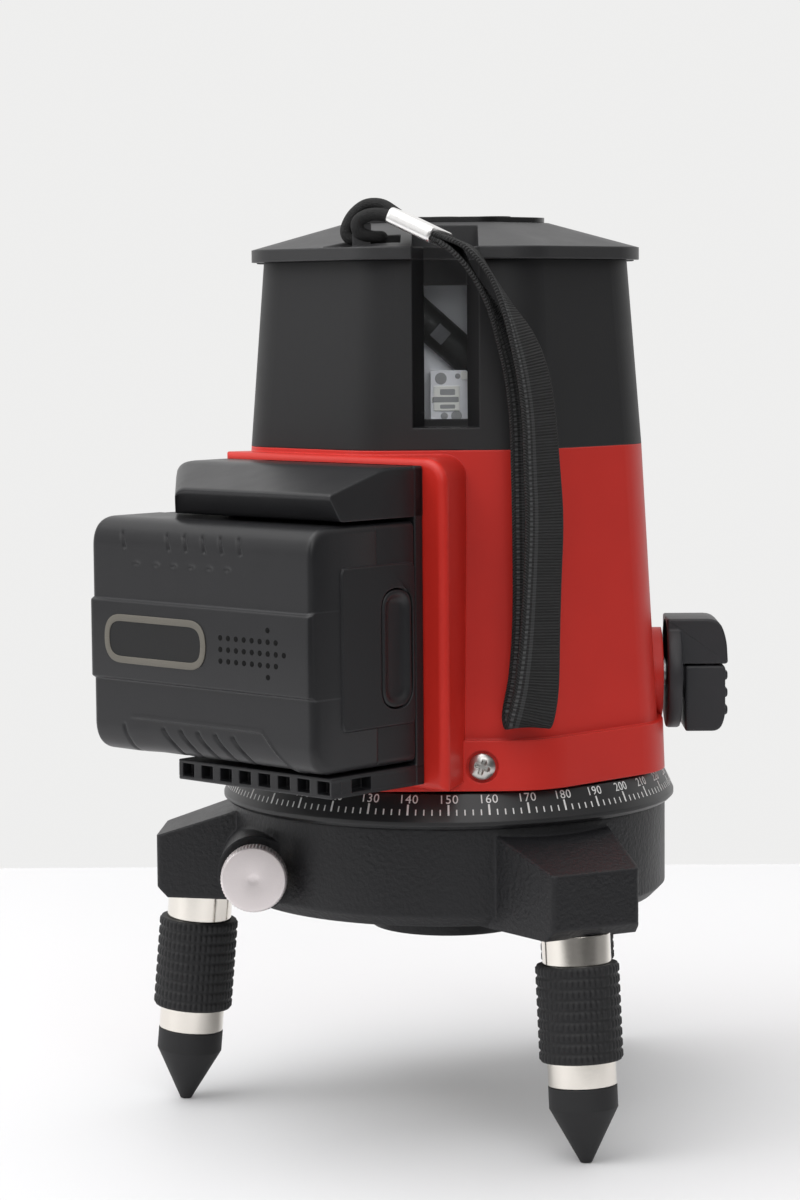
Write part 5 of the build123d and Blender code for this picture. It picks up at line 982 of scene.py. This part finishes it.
class LEVEL_OT_dial(bpy.types.Operator):
    """Puts the degree marks and numbers on the graduated ring's slope"""

    bl_idname = "level.dial"
    bl_label = "Dial marks"

    def execute(self, context):
        step = context.scene.level_sizes.dial_step
        shells = [self.ticks(step)]
        for number in range(0, 360, step):
            shells.append(self.number(number))
        make_piece("dial_marks", shells, "Dial white", "base", "ring_plastic", sharp=20)
        return {"FINISHED"}

    def on_cone(self, points, degrees):
        """Points on the ring's cone at a reading: x runs round it, y up its slope, and z stands out of it."""
        across, along, off = points.T
        radius = DIAL_RADIUS - DIAL_IN * along + DIAL_RISE * off
        height = DIAL_LOW + DIAL_RISE * along + DIAL_IN * off
        angle = np.radians(degrees - DIAL_FRONT - 90) + across / radius
        return grid_points(radius * np.cos(angle), radius * np.sin(angle), height)

    def ticks(self, step):
        """A thin block every fifth of a step, longer and wider at each number."""
        thin, wider = 0.14, 0.07
        short, longer = 2.9, 1.1
        degrees = np.arange(0, 360, step / 5)
        long = (np.arange(len(degrees)) % 5 == 0).astype(float)
        half = thin + wider * long
        low = np.column_stack((-half, np.full((len(half), 2), (TICK_LOW, -MARK_RISE))))
        high = np.column_stack((half, short + longer * long, np.full(len(half), MARK_RISE)))
        points, faces = boxes(low, high)
        return self.on_cone(points, np.repeat(degrees, 8)), faces

    def number(self, value):
        """The digits as a thin flat mesh above the marks, bent round the cone at their own reading."""
        curve = bpy.data.curves.new("Digits", "FONT")
        curve.body = str(value)
        curve.align_x = "CENTER"
        curve.size = NUMBER_SIZE
        curve.extrude = MARK_RISE
        curve.resolution_u = 4
        curve.space_character = 1.08
        points, faces = curve_mesh(curve)
        return self.on_cone(points + np.array((0, NUMBER_LOW, 0)), value), faces


class LEVEL_OT_grips(bpy.types.Operator):
    """Builds the three nubbed leg grips"""

    bl_idname = "level.grips"
    bl_label = "Leg grips"

    def execute(self, context):
        sizes = context.scene.level_sizes
        rings = self.grip(sizes.grip_ribs, sizes.grip_nubs)
        for index, turn in enumerate(LEG_TURNS, 1):
            shells = [ring_shell(placed(rings, *self.leg_place(radians(turn))))]
            name = f"nub_grip_{index}"
            make_piece(name, shells, "Grip rubber", f"leg_{index}", "rubber", [f"leg_grip_{index}"], 50)
        return {"FINISHED"}

    def leg_place(self, turn):
        """Origin and axes of a leg: on the arm's underside, z down the leaning leg."""
        radial = np.array((cos(turn), sin(turn), 0))
        across = np.array((-sin(turn), cos(turn), 0))
        down = radial * sin(LEG_LEAN) - UP * cos(LEG_LEAN)
        return radial * LEG_REACH + UP * LEG_TOP, (across, np.cross(down, across), down)

    def grip(self, ribs, nubs):
        """Sleeve whose radius rises where a rib's wave down its length meets a nub's wave round it."""
        height = np.linspace(GRIP_TOP, GRIP_END, 8 * ribs + 1)
        angle = around(4 * nubs)
        rib = smooth_step(-np.cos(np.linspace(0, 2 * pi * ribs, len(height))), -0.95, -0.3)
        nub = smooth_step(np.cos(nubs * angle), -0.8, 0.2)
        between = 0.12
        swell = NUB_RISE * rib[:, None] * (between + (1 - between) * nub[None])
        outside = turned(np.column_stack((np.full(len(height), GRIP_RADIUS), height)), len(angle), swell)
        inside = turned(((GRIP_BORE, GRIP_END), (GRIP_BORE, GRIP_TOP)), len(angle))
        return np.concatenate((outside, inside))


class LEVEL_OT_knobs(bpy.types.Operator):
    """Builds the fine adjustment knob and the pendulum lock's lever knob"""

    bl_idname = "level.knobs"
    bl_label = "Knobs"

    def execute(self, context):
        self.fine_knob()
        self.lever_knob()
        return {"FINISHED"}

    def fine_knob(self):
        """Knurled disc: a turned profile whose rim carries a fine wave round it."""
        profile = (
            (2.6, 0.0), (6.8, 0.0), (7.25, 0.35), (7.25, 1.0), (7.25, 2.0), (7.25, 3.0), (7.25, 4.0),
            (7.25, 4.5), (6.9, 4.95), (6.3, 5.0), (4.0, 5.0), (1.5, 5.0), (1.2, 4.97), (0.9, 4.9),
            (0.3, 4.88),
        )
        rim = np.array((0, 0, 0.4, 1, 1, 1, 1, 0.6, 0, 0, 0, 0, 0, 0, 0))
        teeth, tooth = 60, 0.15
        knurl = np.cos(teeth * around(4 * teeth))
        rings = turned(profile, len(knurl), tooth * rim[:, None] * knurl[None])
        shell = closed_shell(placed(rings, FINE_KNOB_PLACE, quarter_axes(0)))
        make_piece("knurled_knob", [shell], "Turned aluminium", "worm", "nickel", ["fine_knob"])

    def lever_knob(self):
        """Disc turned about the shaft, and rounded slabs: the cap above, the wing below and its ridges."""
        disc = (
            (0.2, 0), (12.2, 0), (12.6, 0.15), (12.8, 0.6), (12.8, 2.6), (12.6, 3.05), (12.2, 3.2),
            (6.2, 3.2), (6.0, 3.3), (6.0, 4.4), (0.2, 4.4),
        )
        cap = ((50.2, 60.6), (LEVER_END, 60.6), (63.8, 66), (62.2, 71), (50.2, 71))
        wing = ((54.3, 45.1), (62.3, 45.1), (63.5, 48.5), (63.5, 60.2), (54.3, 60.2))
        cap_half, wing_half, ridge_half = 7.5, 7.3, 6.4
        slabs = [
            slab(rounded_outline(cap, (0.6, 0.8, 1.9, 2.8, 0.6), 6), -cap_half, cap_half, 0.5),
            slab(rounded_outline(wing, (0.6, 1.8, 1.6, 0.9, 0.6), 6), -wing_half, wing_half, 0.5),
        ]
        for height in (57.9, 53.9, 49.9):
            ridge = rectangle(62.4, LEVER_END, height - 1.2, height + 1.2, 0.9, 6)
            slabs.append(slab(ridge, -ridge_half, ridge_half, 0.4))
        along_shaft = ((0, 1, 0), (0, 0, 1), (1, 0, 0))
        shells = [closed_shell(placed(turned(disc, 96), LEVER_PLACE, along_shaft))]
        shells += [closed_shell(rings @ quarter_axes(0)) for rings in slabs]
        make_piece("lever_knob", shells, "Knob plastic", "lock_knob", "knob_plastic", ["lock_knob"])


class LEVEL_OT_screws(bpy.types.Operator):
    """Builds the four cross-head screws of the skirt"""

    bl_idname = "level.screws"
    bl_label = "Screws"

    def execute(self, context):
        place = np.array((SCREW_ACROSS, SCREW_HEIGHT, SCREW_OUT))
        shells = [closed_shell((self.head() + place) @ quarter_axes(quarter)) for quarter in range(4)]
        make_piece("cross_screws", shells, "Screw steel", "turret", "nickel", ["body_screws"], 40)
        return {"FINISHED"}

    def head(self):
        """Pan head: a low side, a dome falling from the middle, and a cross pressed into it."""
        side = (0.0, 0.3, 0.6)
        top, top_fall = 1.75, 0.95
        cross_turn, cross_depth = 0.35, 1.25
        arm_in, arm_out = 0.36, 0.52
        reach_in, reach_out = 1.35, 1.75
        radius = np.concatenate((np.full(len(side), SCREW_RADIUS), np.linspace(2.86, 0.02, 44)))[:, None]
        rise = top - top_fall * (radius / SCREW_RADIUS) ** 3
        rise[: len(side), 0] = side
        angle = around(120)
        x = np.abs(radius * np.cos(angle + cross_turn))
        y = np.abs(radius * np.sin(angle + cross_turn))
        arm = 1 - np.minimum(smooth_step(x, arm_in, arm_out), smooth_step(y, arm_in, arm_out))
        height = rise - cross_depth * (1 - smooth_step(radius, reach_in, reach_out)) * arm
        return grid_points(radius * np.cos(angle), radius * np.sin(angle), height)


class LEVEL_OT_battery(bpy.types.Operator):
    """Builds the battery's front shell with its band, grip grooves, plain plate and dot arrow"""

    bl_idname = "level.battery"
    bl_label = "Battery"

    def execute(self, context):
        outline = rectangle(*PLATE_SIDES, PLATE_ROUND, 9)
        plate = slab(outline, BAND_FRONT - 0.05, BAND_FRONT + 0.1, 0.1)
        shell = [closed_shell(bay_section(rings)) for rings in (self.body(), self.band())]
        side = [ring_shell(bay_section(self.side_panel()))]
        button = [closed_shell(bay_section(self.button()))]
        slot = "battery_plastic"
        make_piece("battery_shell", shell, "Battery plastic", "battery", slot, ["battery_case"], 40)
        make_piece("badge_place", [closed_shell(bay_front(plate))], "Badge plate", "battery", slot)
        make_piece("badge_rim", [ring_shell(bay_front(self.rim(outline)))], "Badge rim", "battery", slot)
        make_piece("arrow_dots", self.dots(), "Dot ink", "battery", slot, sharp=60)
        make_piece("battery_side", side, "Battery plastic", "battery", slot)
        make_piece("latch_button", button, "Battery plastic", "battery_latch", slot, ["battery_latch"])
        return {"FINISHED"}

    def body(self):
        """Rounded outline along the face, pressed in by the grooves and drawn in at both round ends."""
        corners = rectangle(BATTERY_BACK, BATTERY_FRONT, BATTERY_LOW, BATTERY_HIGH, (0.3, 6.2, 6.0, 0.3), 24)
        outline = resampled(corners, 350, 0.63)
        u = np.linspace(BATTERY_LEFT, BATTERY_RIGHT, 220)
        front = smooth_step(outline[None, :, 0], 66, 68)
        press = front * self.grooves(u[:, None], outline[None, :, 1])
        flat = outline[None] - outward_normals(outline)[None] * press[..., None]
        middle = (BATTERY_LOW + BATTERY_HIGH) / 2
        upright = quarter_round(2.0, u - BATTERY_LEFT) + quarter_round(1.5, BATTERY_RIGHT - u)
        outward = quarter_round(1.6, u - BATTERY_LEFT) + quarter_round(1.4, BATTERY_RIGHT - u)
        w = drawn_in(flat[..., 0], BATTERY_BACK, BATTERY_FRONT - BATTERY_BACK, outward)
        z = drawn_in(flat[..., 1], middle, BATTERY_HIGH - middle, upright)
        return grid_points(w, z, u[:, None])

    def grooves(self, u, z):
        """Depth pressed in: cuts on the top round, dents under them, a ridged grip panel with cuts below."""
        cut_depth, cut_width, cut_slant = 0.55, 0.32, 0.35
        dent_depth, dent_width, dent_height = 0.4, 0.8, 0.4
        panel_depth, panel_corner, panel_run, panel_drop = 0.3, 21, 5.7, 5.8
        ridge_rise, ridge_width = 0.25, 0.3
        grip_depth, grip_width, grip_curve = 0.6, 0.42, 4.0
        end_depth, end_width, end_curve, end_place = 0.35, 0.4, 0.4, -21.5
        depth = 0 * u * z
        top = smooth_step(z, 90.6, 91.4) * (1 - smooth_step(z, 94.2, 95.0))
        slanted = u + cut_slant * (z - TOP_CUT_HEIGHT)
        for middle in TOP_CUTS:
            depth = depth + cut_depth * top * bell(slanted, middle, cut_width)
        for middle in TOP_DENTS:
            depth = depth + dent_depth * bell(u, middle, dent_width) * bell(z, DENT_HEIGHT, dent_height)
        right = panel_corner + panel_run * (PANEL_TOP - z) / panel_drop
        panel = (1 - smooth_step(z, PANEL_TOP - 0.25, PANEL_TOP + 0.1)) * smooth_step(u, -22, -12)
        panel = panel * (1 - smooth_step(u, right - 0.2, right + 0.2))
        below = 1 - smooth_step(z, PANEL_TOP - 0.1, PANEL_TOP + 0.4)
        ridge = smooth_step(u, -20, -16) * (1 - smooth_step(u, panel_corner, panel_corner + 0.6))
        ridge = ridge * bell(z, PANEL_TOP + ridge_width, ridge_width)
        ridge = np.maximum(ridge, below * bell(u, right + ridge_width, ridge_width))
        depth = depth + panel_depth * panel - ridge_rise * ridge
        low = 1 - smooth_step(z, 52.6, 53.2)
        lean = grip_curve * smooth_step(53.4 - z, 0, 6)
        for middle in GRIP_CUTS:
            depth = depth + grip_depth * low * bell(u - lean, middle, grip_width)
        return depth + end_depth * low * bell(u - end_curve * lean, end_place, end_width)

    def band(self):
        """Proud middle band: a chamfered outline along the face, its front drawn in at both round ends."""
        edge = BAND_FRONT - 1.2
        corners = (
            (BATTERY_BACK, BAND_LOW),
            (edge, BAND_LOW),
            (BAND_FRONT, BAND_LOW + 0.7),
            (BAND_FRONT, BAND_HIGH - 0.7),
            (edge, BAND_HIGH),
            (BATTERY_BACK, BAND_HIGH),
        )
        outline = rounded_outline(corners, (0.2, 0.2, 0.25, 0.25, 0.2, 0.2), 4)
        u = np.linspace(BAND_LEFT, BAND_RIGHT, 150)
        inset = quarter_round(1.4, u - BAND_LEFT) + quarter_round(0.7, BAND_RIGHT - u)
        w = drawn_in(outline[None, :, 0], BATTERY_BACK, BAND_FRONT - BATTERY_BACK, inset)
        return grid_points(w, outline[None, :, 1], u[:, None])

    def rim(self, outline):
        """Raised frame round the plain plate: rings between the outline and one drawn in from it."""
        levels = np.array(((0.0, 0.0), (0.0, 0.2), (0.1, 0.24), (1.4, 0.24), (1.5, 0.2), (1.5, 0.0)))
        return stepped(outline, levels + np.array((0, BAND_FRONT)))

    def button(self):
        """Dished obround button: the outline drawn in over a raised lip and down to a hollow floor."""
        outline = resampled(rectangle(51.7, 60.7, 58.6, 83.4, 4.45, 12), 120)
        levels = (
            (0, 34.4), (0, 36.2), (0.2, 36.42), (0.55, 36.5),
            (1.0, 36.4), (1.6, 35.9), (2.2, 35.6), (2.9, 35.5),
        )
        return stepped(outline, levels)

    def dots(self):
        """Shells of small low cones: three rows of eight, and three more that make the arrow's head."""
        column, row = np.meshgrid(np.arange(8.0), np.arange(-1.0, 2.0))
        head = np.array(((6.0, -2.0), (6.0, 2.0), (8.0, 0.0)))
        spots = np.concatenate((np.stack((column, row), axis=-1).reshape(-1, 2), head))
        places = np.column_stack((DOTS_START + DOTS_PITCH * spots, np.full(len(spots), BAND_FRONT)))
        cone = turned(((0.6, -0.1), (0.6, 0.04), (0.5, 0.06)), 10)
        return [closed_shell(bay_front(cone + place)) for place in places]

    def side_panel(self):
        """Proud plate on the right end: rings between the button's obround hole and a rounded outline."""
        hole = resampled(rectangle(51.3, 61.1, 58.2, 83.8, 4.8, 12), 120)
        rim = resampled(rectangle(50.8, 72.5, 55, 88.6, 0.9, 6), 120)
        rim = np.roll(rim, -int(np.argmin(np.linalg.norm(rim - hole[0], axis=1))), axis=0)
        low, high, flare = 35.9, 36.4, 0.5
        levels = ((rim + outward_normals(rim) * flare, low), (rim, high), (hole, high), (hole, low))
        return np.stack([np.column_stack((outline, np.full(len(outline), u))) for outline, u in levels])


class LEVEL_OT_dock(bpy.types.Operator):
    """Builds the battery dock: back plate, rounded hood, comb tray and guide rail"""

    bl_idname = "level.dock"
    bl_label = "Battery dock"

    def execute(self, context):
        tray_top = rectangle(DOCK_BACK, DOCK_FRONT, 44.75, 45.6, 0.3, 3)
        tray_floor = rectangle(DOCK_BACK, DOCK_FRONT, DOCK_LOW, 42.05, 0.3, 3)
        tray_core = rectangle(DOCK_BACK, COMB_BACK, COMB_LOW, COMB_HIGH, 0.1, 3)
        plate = rectangle(DOCK_BACK, 50.1, DOCK_LOW, DOCK_HIGH, 0.3, 3)
        rail_neck = rectangle(50, 52.5, 67, 81, 0.1, 3)
        rail_lip = rectangle(52.4, 54.9, 63, 85, 0.3, 3)
        rings = (
            self.hood(),
            slab(tray_top, DOCK_LEFT, DOCK_RIGHT, 0.28),
            slab(tray_floor, DOCK_LEFT, DOCK_RIGHT, 0.28),
            slab(tray_core, DOCK_LEFT + 0.2, DOCK_RIGHT - 3, 0.1),
            slab(plate, DOCK_LEFT, DOCK_RIGHT, 0.28),
            slab(rail_neck, RAIL_LEFT, RAIL_RIGHT, 0.1),
            slab(rail_lip, RAIL_LEFT, RAIL_RIGHT, 0.28),
        )
        shells = [closed_shell(bay_section(points)) for points in rings]
        shells += [self.teeth(), self.side_wall()]
        make_piece("dock_frame", shells, "Battery plastic", "turret", "dock_plastic", ["battery_dock"])
        return {"FINISHED"}

    def hood(self):
        """Bevelled outline along the face from a slanting left end, its top drawn down at both round ends."""
        corners = (
            (DOCK_BACK, HOOD_LOW),
            (72.5, HOOD_LOW),
            (DOCK_FRONT, 104),
            (59.2, DOCK_HIGH),
            (DOCK_BACK, DOCK_HIGH),
        )
        outline = resampled(rounded_outline(corners, (0.2, 0.6, 1.0, 2.4, 0.2), 8), 160)
        runs = ((0, 0.075, 14), (0.1, 0.95, 8), (0.98, 1, 8))
        share = np.concatenate([np.linspace(*run) for run in runs])
        slant, left_round, right_round = 1.036, 3.4, 0.6
        left = np.maximum(DOCK_LEFT - slant * (DOCK_FRONT - outline[:, 0]), HOOD_LEFT)
        u = left[None] + share[:, None] * (DOCK_RIGHT - left)[None]
        length = DOCK_RIGHT - DOCK_LEFT
        along = share * length
        drop = quarter_round(left_round, along) + quarter_round(right_round, length - along)
        z = drawn_in(outline[None, :, 1], HOOD_LOW, DOCK_HIGH - HOOD_LOW, drop)
        return grid_points(outline[None, :, 0], z, u)

    def teeth(self):
        """Blocks between the comb's openings along the tray's front."""
        first, pitch, half, count = -7, 5.8, 1.8, 8
        middle = first + pitch * np.arange(count)
        left = np.concatenate(((DOCK_LEFT + 0.1,), middle + half))
        right = np.concatenate((middle - half, (DOCK_RIGHT - 0.1,)))
        low = np.column_stack((np.full((count + 1, 2), (COMB_BACK - 0.1, COMB_LOW)), left))
        high = np.column_stack((np.full((count + 1, 2), (DOCK_FRONT - 0.05, COMB_HIGH)), right))
        points, faces = boxes(low, high)
        return bay_section(points), faces

    def side_wall(self):
        """Blocks either side of the wide opening in the tray's right end."""
        near, far = DOCK_RIGHT - 3.1, DOCK_RIGHT - 0.05
        points, faces = boxes(
            ((DOCK_BACK + 0.1, COMB_LOW, near), (70, COMB_LOW, near)),
            ((64, COMB_HIGH, far), (COMB_BACK, COMB_HIGH, far)),
        )
        return bay_section(points), faces


class LEVEL_OT_modules(bpy.types.Operator):
    """Adds the machined plates that show behind each window, with painted shade for their slots and holes"""

    bl_idname = "level.modules"
    bl_label = "Laser modules"

    def execute(self, context):
        plates = (
            (-2.7, 3.0, 119.6, 125.1, 0.35),
            (-3.1, 3.0, 121.4, 122.8, 0.15),
            (3.3, 4.8, 126.4, 128.3, 0.4),
        )
        slots = ((-1.3, 2.0, 123.1, 124.4), (-2.9, 2.8, 121.5, 122.7), (-1.3, 2.0, 120.1, 121.0))
        holes = ((-1.1, 126.7, 1.3), (2.6, 127.2, 0.6), (2.3, 118.5, 1.2), (-0.4, 118.5, 0.8))
        # The slots and holes are thin dark marks laid on the face, not cut into it. They are painted shade where their
        # insides would be dark.
        bright = []
        dark = []
        for quarter in range(4):
            axes = quarter_axes(quarter)
            for *sides, rise in plates:
                plate = slab(rectangle(*sides, 0.3, 4), MODULE_FACE, MODULE_FACE + 0.2 + rise, 0.12)
                bright.append(closed_shell(plate @ axes))
            for sides in slots:
                slot = slab(rectangle(*sides, 0.25, 4), MODULE_FACE + 0.4, MODULE_FACE + 0.6, 0.05)
                dark.append(closed_shell(slot @ axes))
            for across, height, radius in holes:
                hole = turned(((radius, 0.1), (radius, 0.26), (radius * 0.8, 0.3)), 28)
                dark.append(closed_shell((hole + np.array((across, height, MODULE_FACE))) @ axes))
        make_piece("module_plates", bright, "Bright alloy", "pendulum", "aluminium")
        make_piece("module_slot_shade", dark, "Module painted shade", "pendulum", "aluminium")
        return {"FINISHED"}


class LEVEL_OT_stage(bpy.types.Operator):
    """Sets the floor, the lights, the background and the camera"""

    bl_idname = "level.stage"
    bl_label = "Stage and camera"

    def execute(self, context):
        scene = context.scene
        scene.view_settings.view_transform = "Standard"
        self.floor(scene)
        self.background(scene)
        self.light(scene, "Key light", (-0.55, -0.3, 1.25), (0, 0, 0.02), 1.3, 12.5)
        self.light(scene, "Front light", (0.25, -1.2, 0.75), (0, 0, 0.08), 0.8, 4.2)
        self.light(scene, "Left light", (-1.1, -0.45, 0.5), (0, 0, 0.06), 0.7, 2.0)
        self.camera(scene)
        return {"FINISHED"}

    def floor(self, scene):
        """Flat sheet under the feet, out to where the table ends; outside the picture its colour darkens towards the
        front and the right: painted shade for the dim room there.
        """
        half, back, count = 1.5, 0.307, 7
        x, y = np.meshgrid(np.linspace(-half, half, count), np.linspace(-half, back, count))
        points = np.stack((x, y, np.full(x.shape, CAD_BOX[0].z)), axis=-1)
        tree, shader = principled("Stage white")
        white = (*scene.level_colours.stage_white, 1)
        shade = placed_group(tree, "Tone drift", {"Colour": white, "Amount": 0.02, "Scale": 6.0})
        parts = self.place_parts(tree, "Object")
        # Painted shade: outside the picture, the floor's colour darkens towards the front and the right, where the
        # room is dim.
        near = self.ramp(tree, parts["Y"], -0.2, -0.55, 1.0, 0.1)
        right = self.ramp(tree, parts["X"], 0.17, 0.45, 1.0, 0.3)
        painted_shade_floor = scaled_colour(tree, shade["Colour"], math_value(tree, "MULTIPLY", near, right))
        feed(shader, {"Base Color": painted_shade_floor, "Roughness": 0.6})
        mesh = bpy.data.meshes.new("floor")
        mesh.from_pydata(points.reshape(-1, 3).tolist(), [], grid_faces(count, count, wrap=False))
        mesh.materials.append(finish_of("Stage white"))
        floor = bpy.data.objects.new("floor", mesh)
        scene.collection.objects.link(floor)
        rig.stage(floor)

    def background(self, scene):
        """Pale wall behind the object; in front a dim room that brightens upwards and to the left."""
        world = bpy.data.worlds.new("Studio")
        world.use_nodes = True
        tree = world.node_tree
        parts = self.place_parts(tree, "Generated")
        wall = self.ramp(tree, parts["Y"], -0.15, 0.55, 0.0, 0.86)
        left = self.ramp(tree, parts["X"], 0.5, -0.9, 0.06, 0.3)
        above = self.ramp(tree, parts["Z"], 0.25, 0.95, 0.0, 1.0)
        strength = math_value(tree, "MAXIMUM", math_value(tree, "ADD", left, above), wall)
        feed(tree.nodes["Background"], {"Color": (1.0, 0.998, 0.992, 1), "Strength": strength})
        scene.world = world

    def place_parts(self, tree, kind):
        """The x, y and z of each place, in coordinates of that kind."""
        place = new_node(tree, "ShaderNodeTexCoord").outputs[kind]
        return new_node(tree, "ShaderNodeSeparateXYZ", {"Vector": place}).outputs

    def ramp(self, tree, value, start, end, low, high):
        """A smooth change from low to high as the value goes from start to end."""
        limits = {"Value": value, "From Min": start, "From Max": end, "To Min": low, "To Max": high}
        return new_node(tree, "ShaderNodeMapRange", limits, interpolation_type="SMOOTHSTEP").outputs["Result"]

    def light(self, scene, name, place, target, size, power):
        """Square soft light that faces a point; places and size in metres, power in watts."""
        lamp = bpy.data.lights.new(name, "AREA")
        lamp.size = size
        lamp.energy = power
        holder = bpy.data.objects.new(name, lamp)
        holder.location = place
        holder.rotation_euler = (Vector(target) - Vector(place)).to_track_quat("-Z", "Y").to_euler()
        scene.collection.objects.link(holder)

    def camera(self, scene):
        """Camera at the photograph's viewing angle."""
        place = (0, -0.7144, 0.1414)
        yaw, pitch, roll = -0.0153006, 0.0925557, 0.0081427
        right = Vector((cos(yaw), -sin(yaw), 0))
        ahead = Vector((sin(yaw) * cos(pitch), cos(yaw) * cos(pitch), -sin(pitch)))
        above = Vector((sin(yaw) * sin(pitch), cos(yaw) * sin(pitch), cos(pitch)))
        rolled_right = right * cos(roll) - above * sin(roll)
        rolled_up = right * sin(roll) + above * cos(roll)
        lens = bpy.data.cameras.new("Camera")
        lens.sensor_fit = "VERTICAL"
        lens.sensor_height = 36
        lens.lens = 93.22
        lens.clip_end = 20
        camera = bpy.data.objects.new("Camera", lens)
        turn = Matrix((rolled_right, rolled_up, -ahead)).transposed()
        camera.matrix_world = Matrix.Translation(place) @ turn.to_4x4()
        scene.collection.objects.link(camera)
        scene.camera = camera


class LEVEL_PT_panel(bpy.types.Panel):
    """Lists the level's operators and settings"""

    bl_idname = "LEVEL_PT_panel"
    bl_label = "Laser level"
    bl_space_type = "VIEW_3D"
    bl_region_type = "UI"
    bl_category = "Level"

    def draw(self, context):
        for operator in OPERATORS:
            self.layout.operator(operator.bl_idname)
        for settings in (context.scene.level_colours, context.scene.level_sizes):
            for label in settings.__annotations__:
                self.layout.prop(settings, label)


OPERATORS = (
    LEVEL_OT_finishes,
    LEVEL_OT_stage,
    LEVEL_OT_strap,
    LEVEL_OT_dial,
    LEVEL_OT_grips,
    LEVEL_OT_knobs,
    LEVEL_OT_screws,
    LEVEL_OT_battery,
    LEVEL_OT_dock,
    LEVEL_OT_modules,
)
CLASSES = (LevelColours, LevelSizes, *OPERATORS, LEVEL_PT_panel)


def register():
    """Registers the classes and hangs the settings on the scene."""
    for item in CLASSES:
        bpy.utils.register_class(item)
    bpy.types.Scene.level_colours = PointerProperty(type=LevelColours)
    bpy.types.Scene.level_sizes = PointerProperty(type=LevelSizes)


def unregister():
    """Takes the settings off the scene and the classes out again."""
    del bpy.types.Scene.level_sizes
    del bpy.types.Scene.level_colours
    for item in reversed(CLASSES):
        bpy.utils.unregister_class(item)


def main():
    """Builds the looks in order and writes the two boxes to compare."""
    register()
    bpy.ops.level.finishes()
    bpy.ops.level.stage()
    bpy.ops.level.strap()
    bpy.ops.level.dial()
    bpy.ops.level.grips()
    bpy.ops.level.knobs()
    bpy.ops.level.screws()
    bpy.ops.level.battery()
    bpy.ops.level.dock()
    bpy.ops.level.modules()
    corners = {
        "cad": [list(corner) for corner in CAD_BOX],
        "visual": [list(corner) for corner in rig.bounds()],
    }
    with open("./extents.json", "w") as out:
        json.dump(corners, out)


if __name__ == "__main__":
    main()
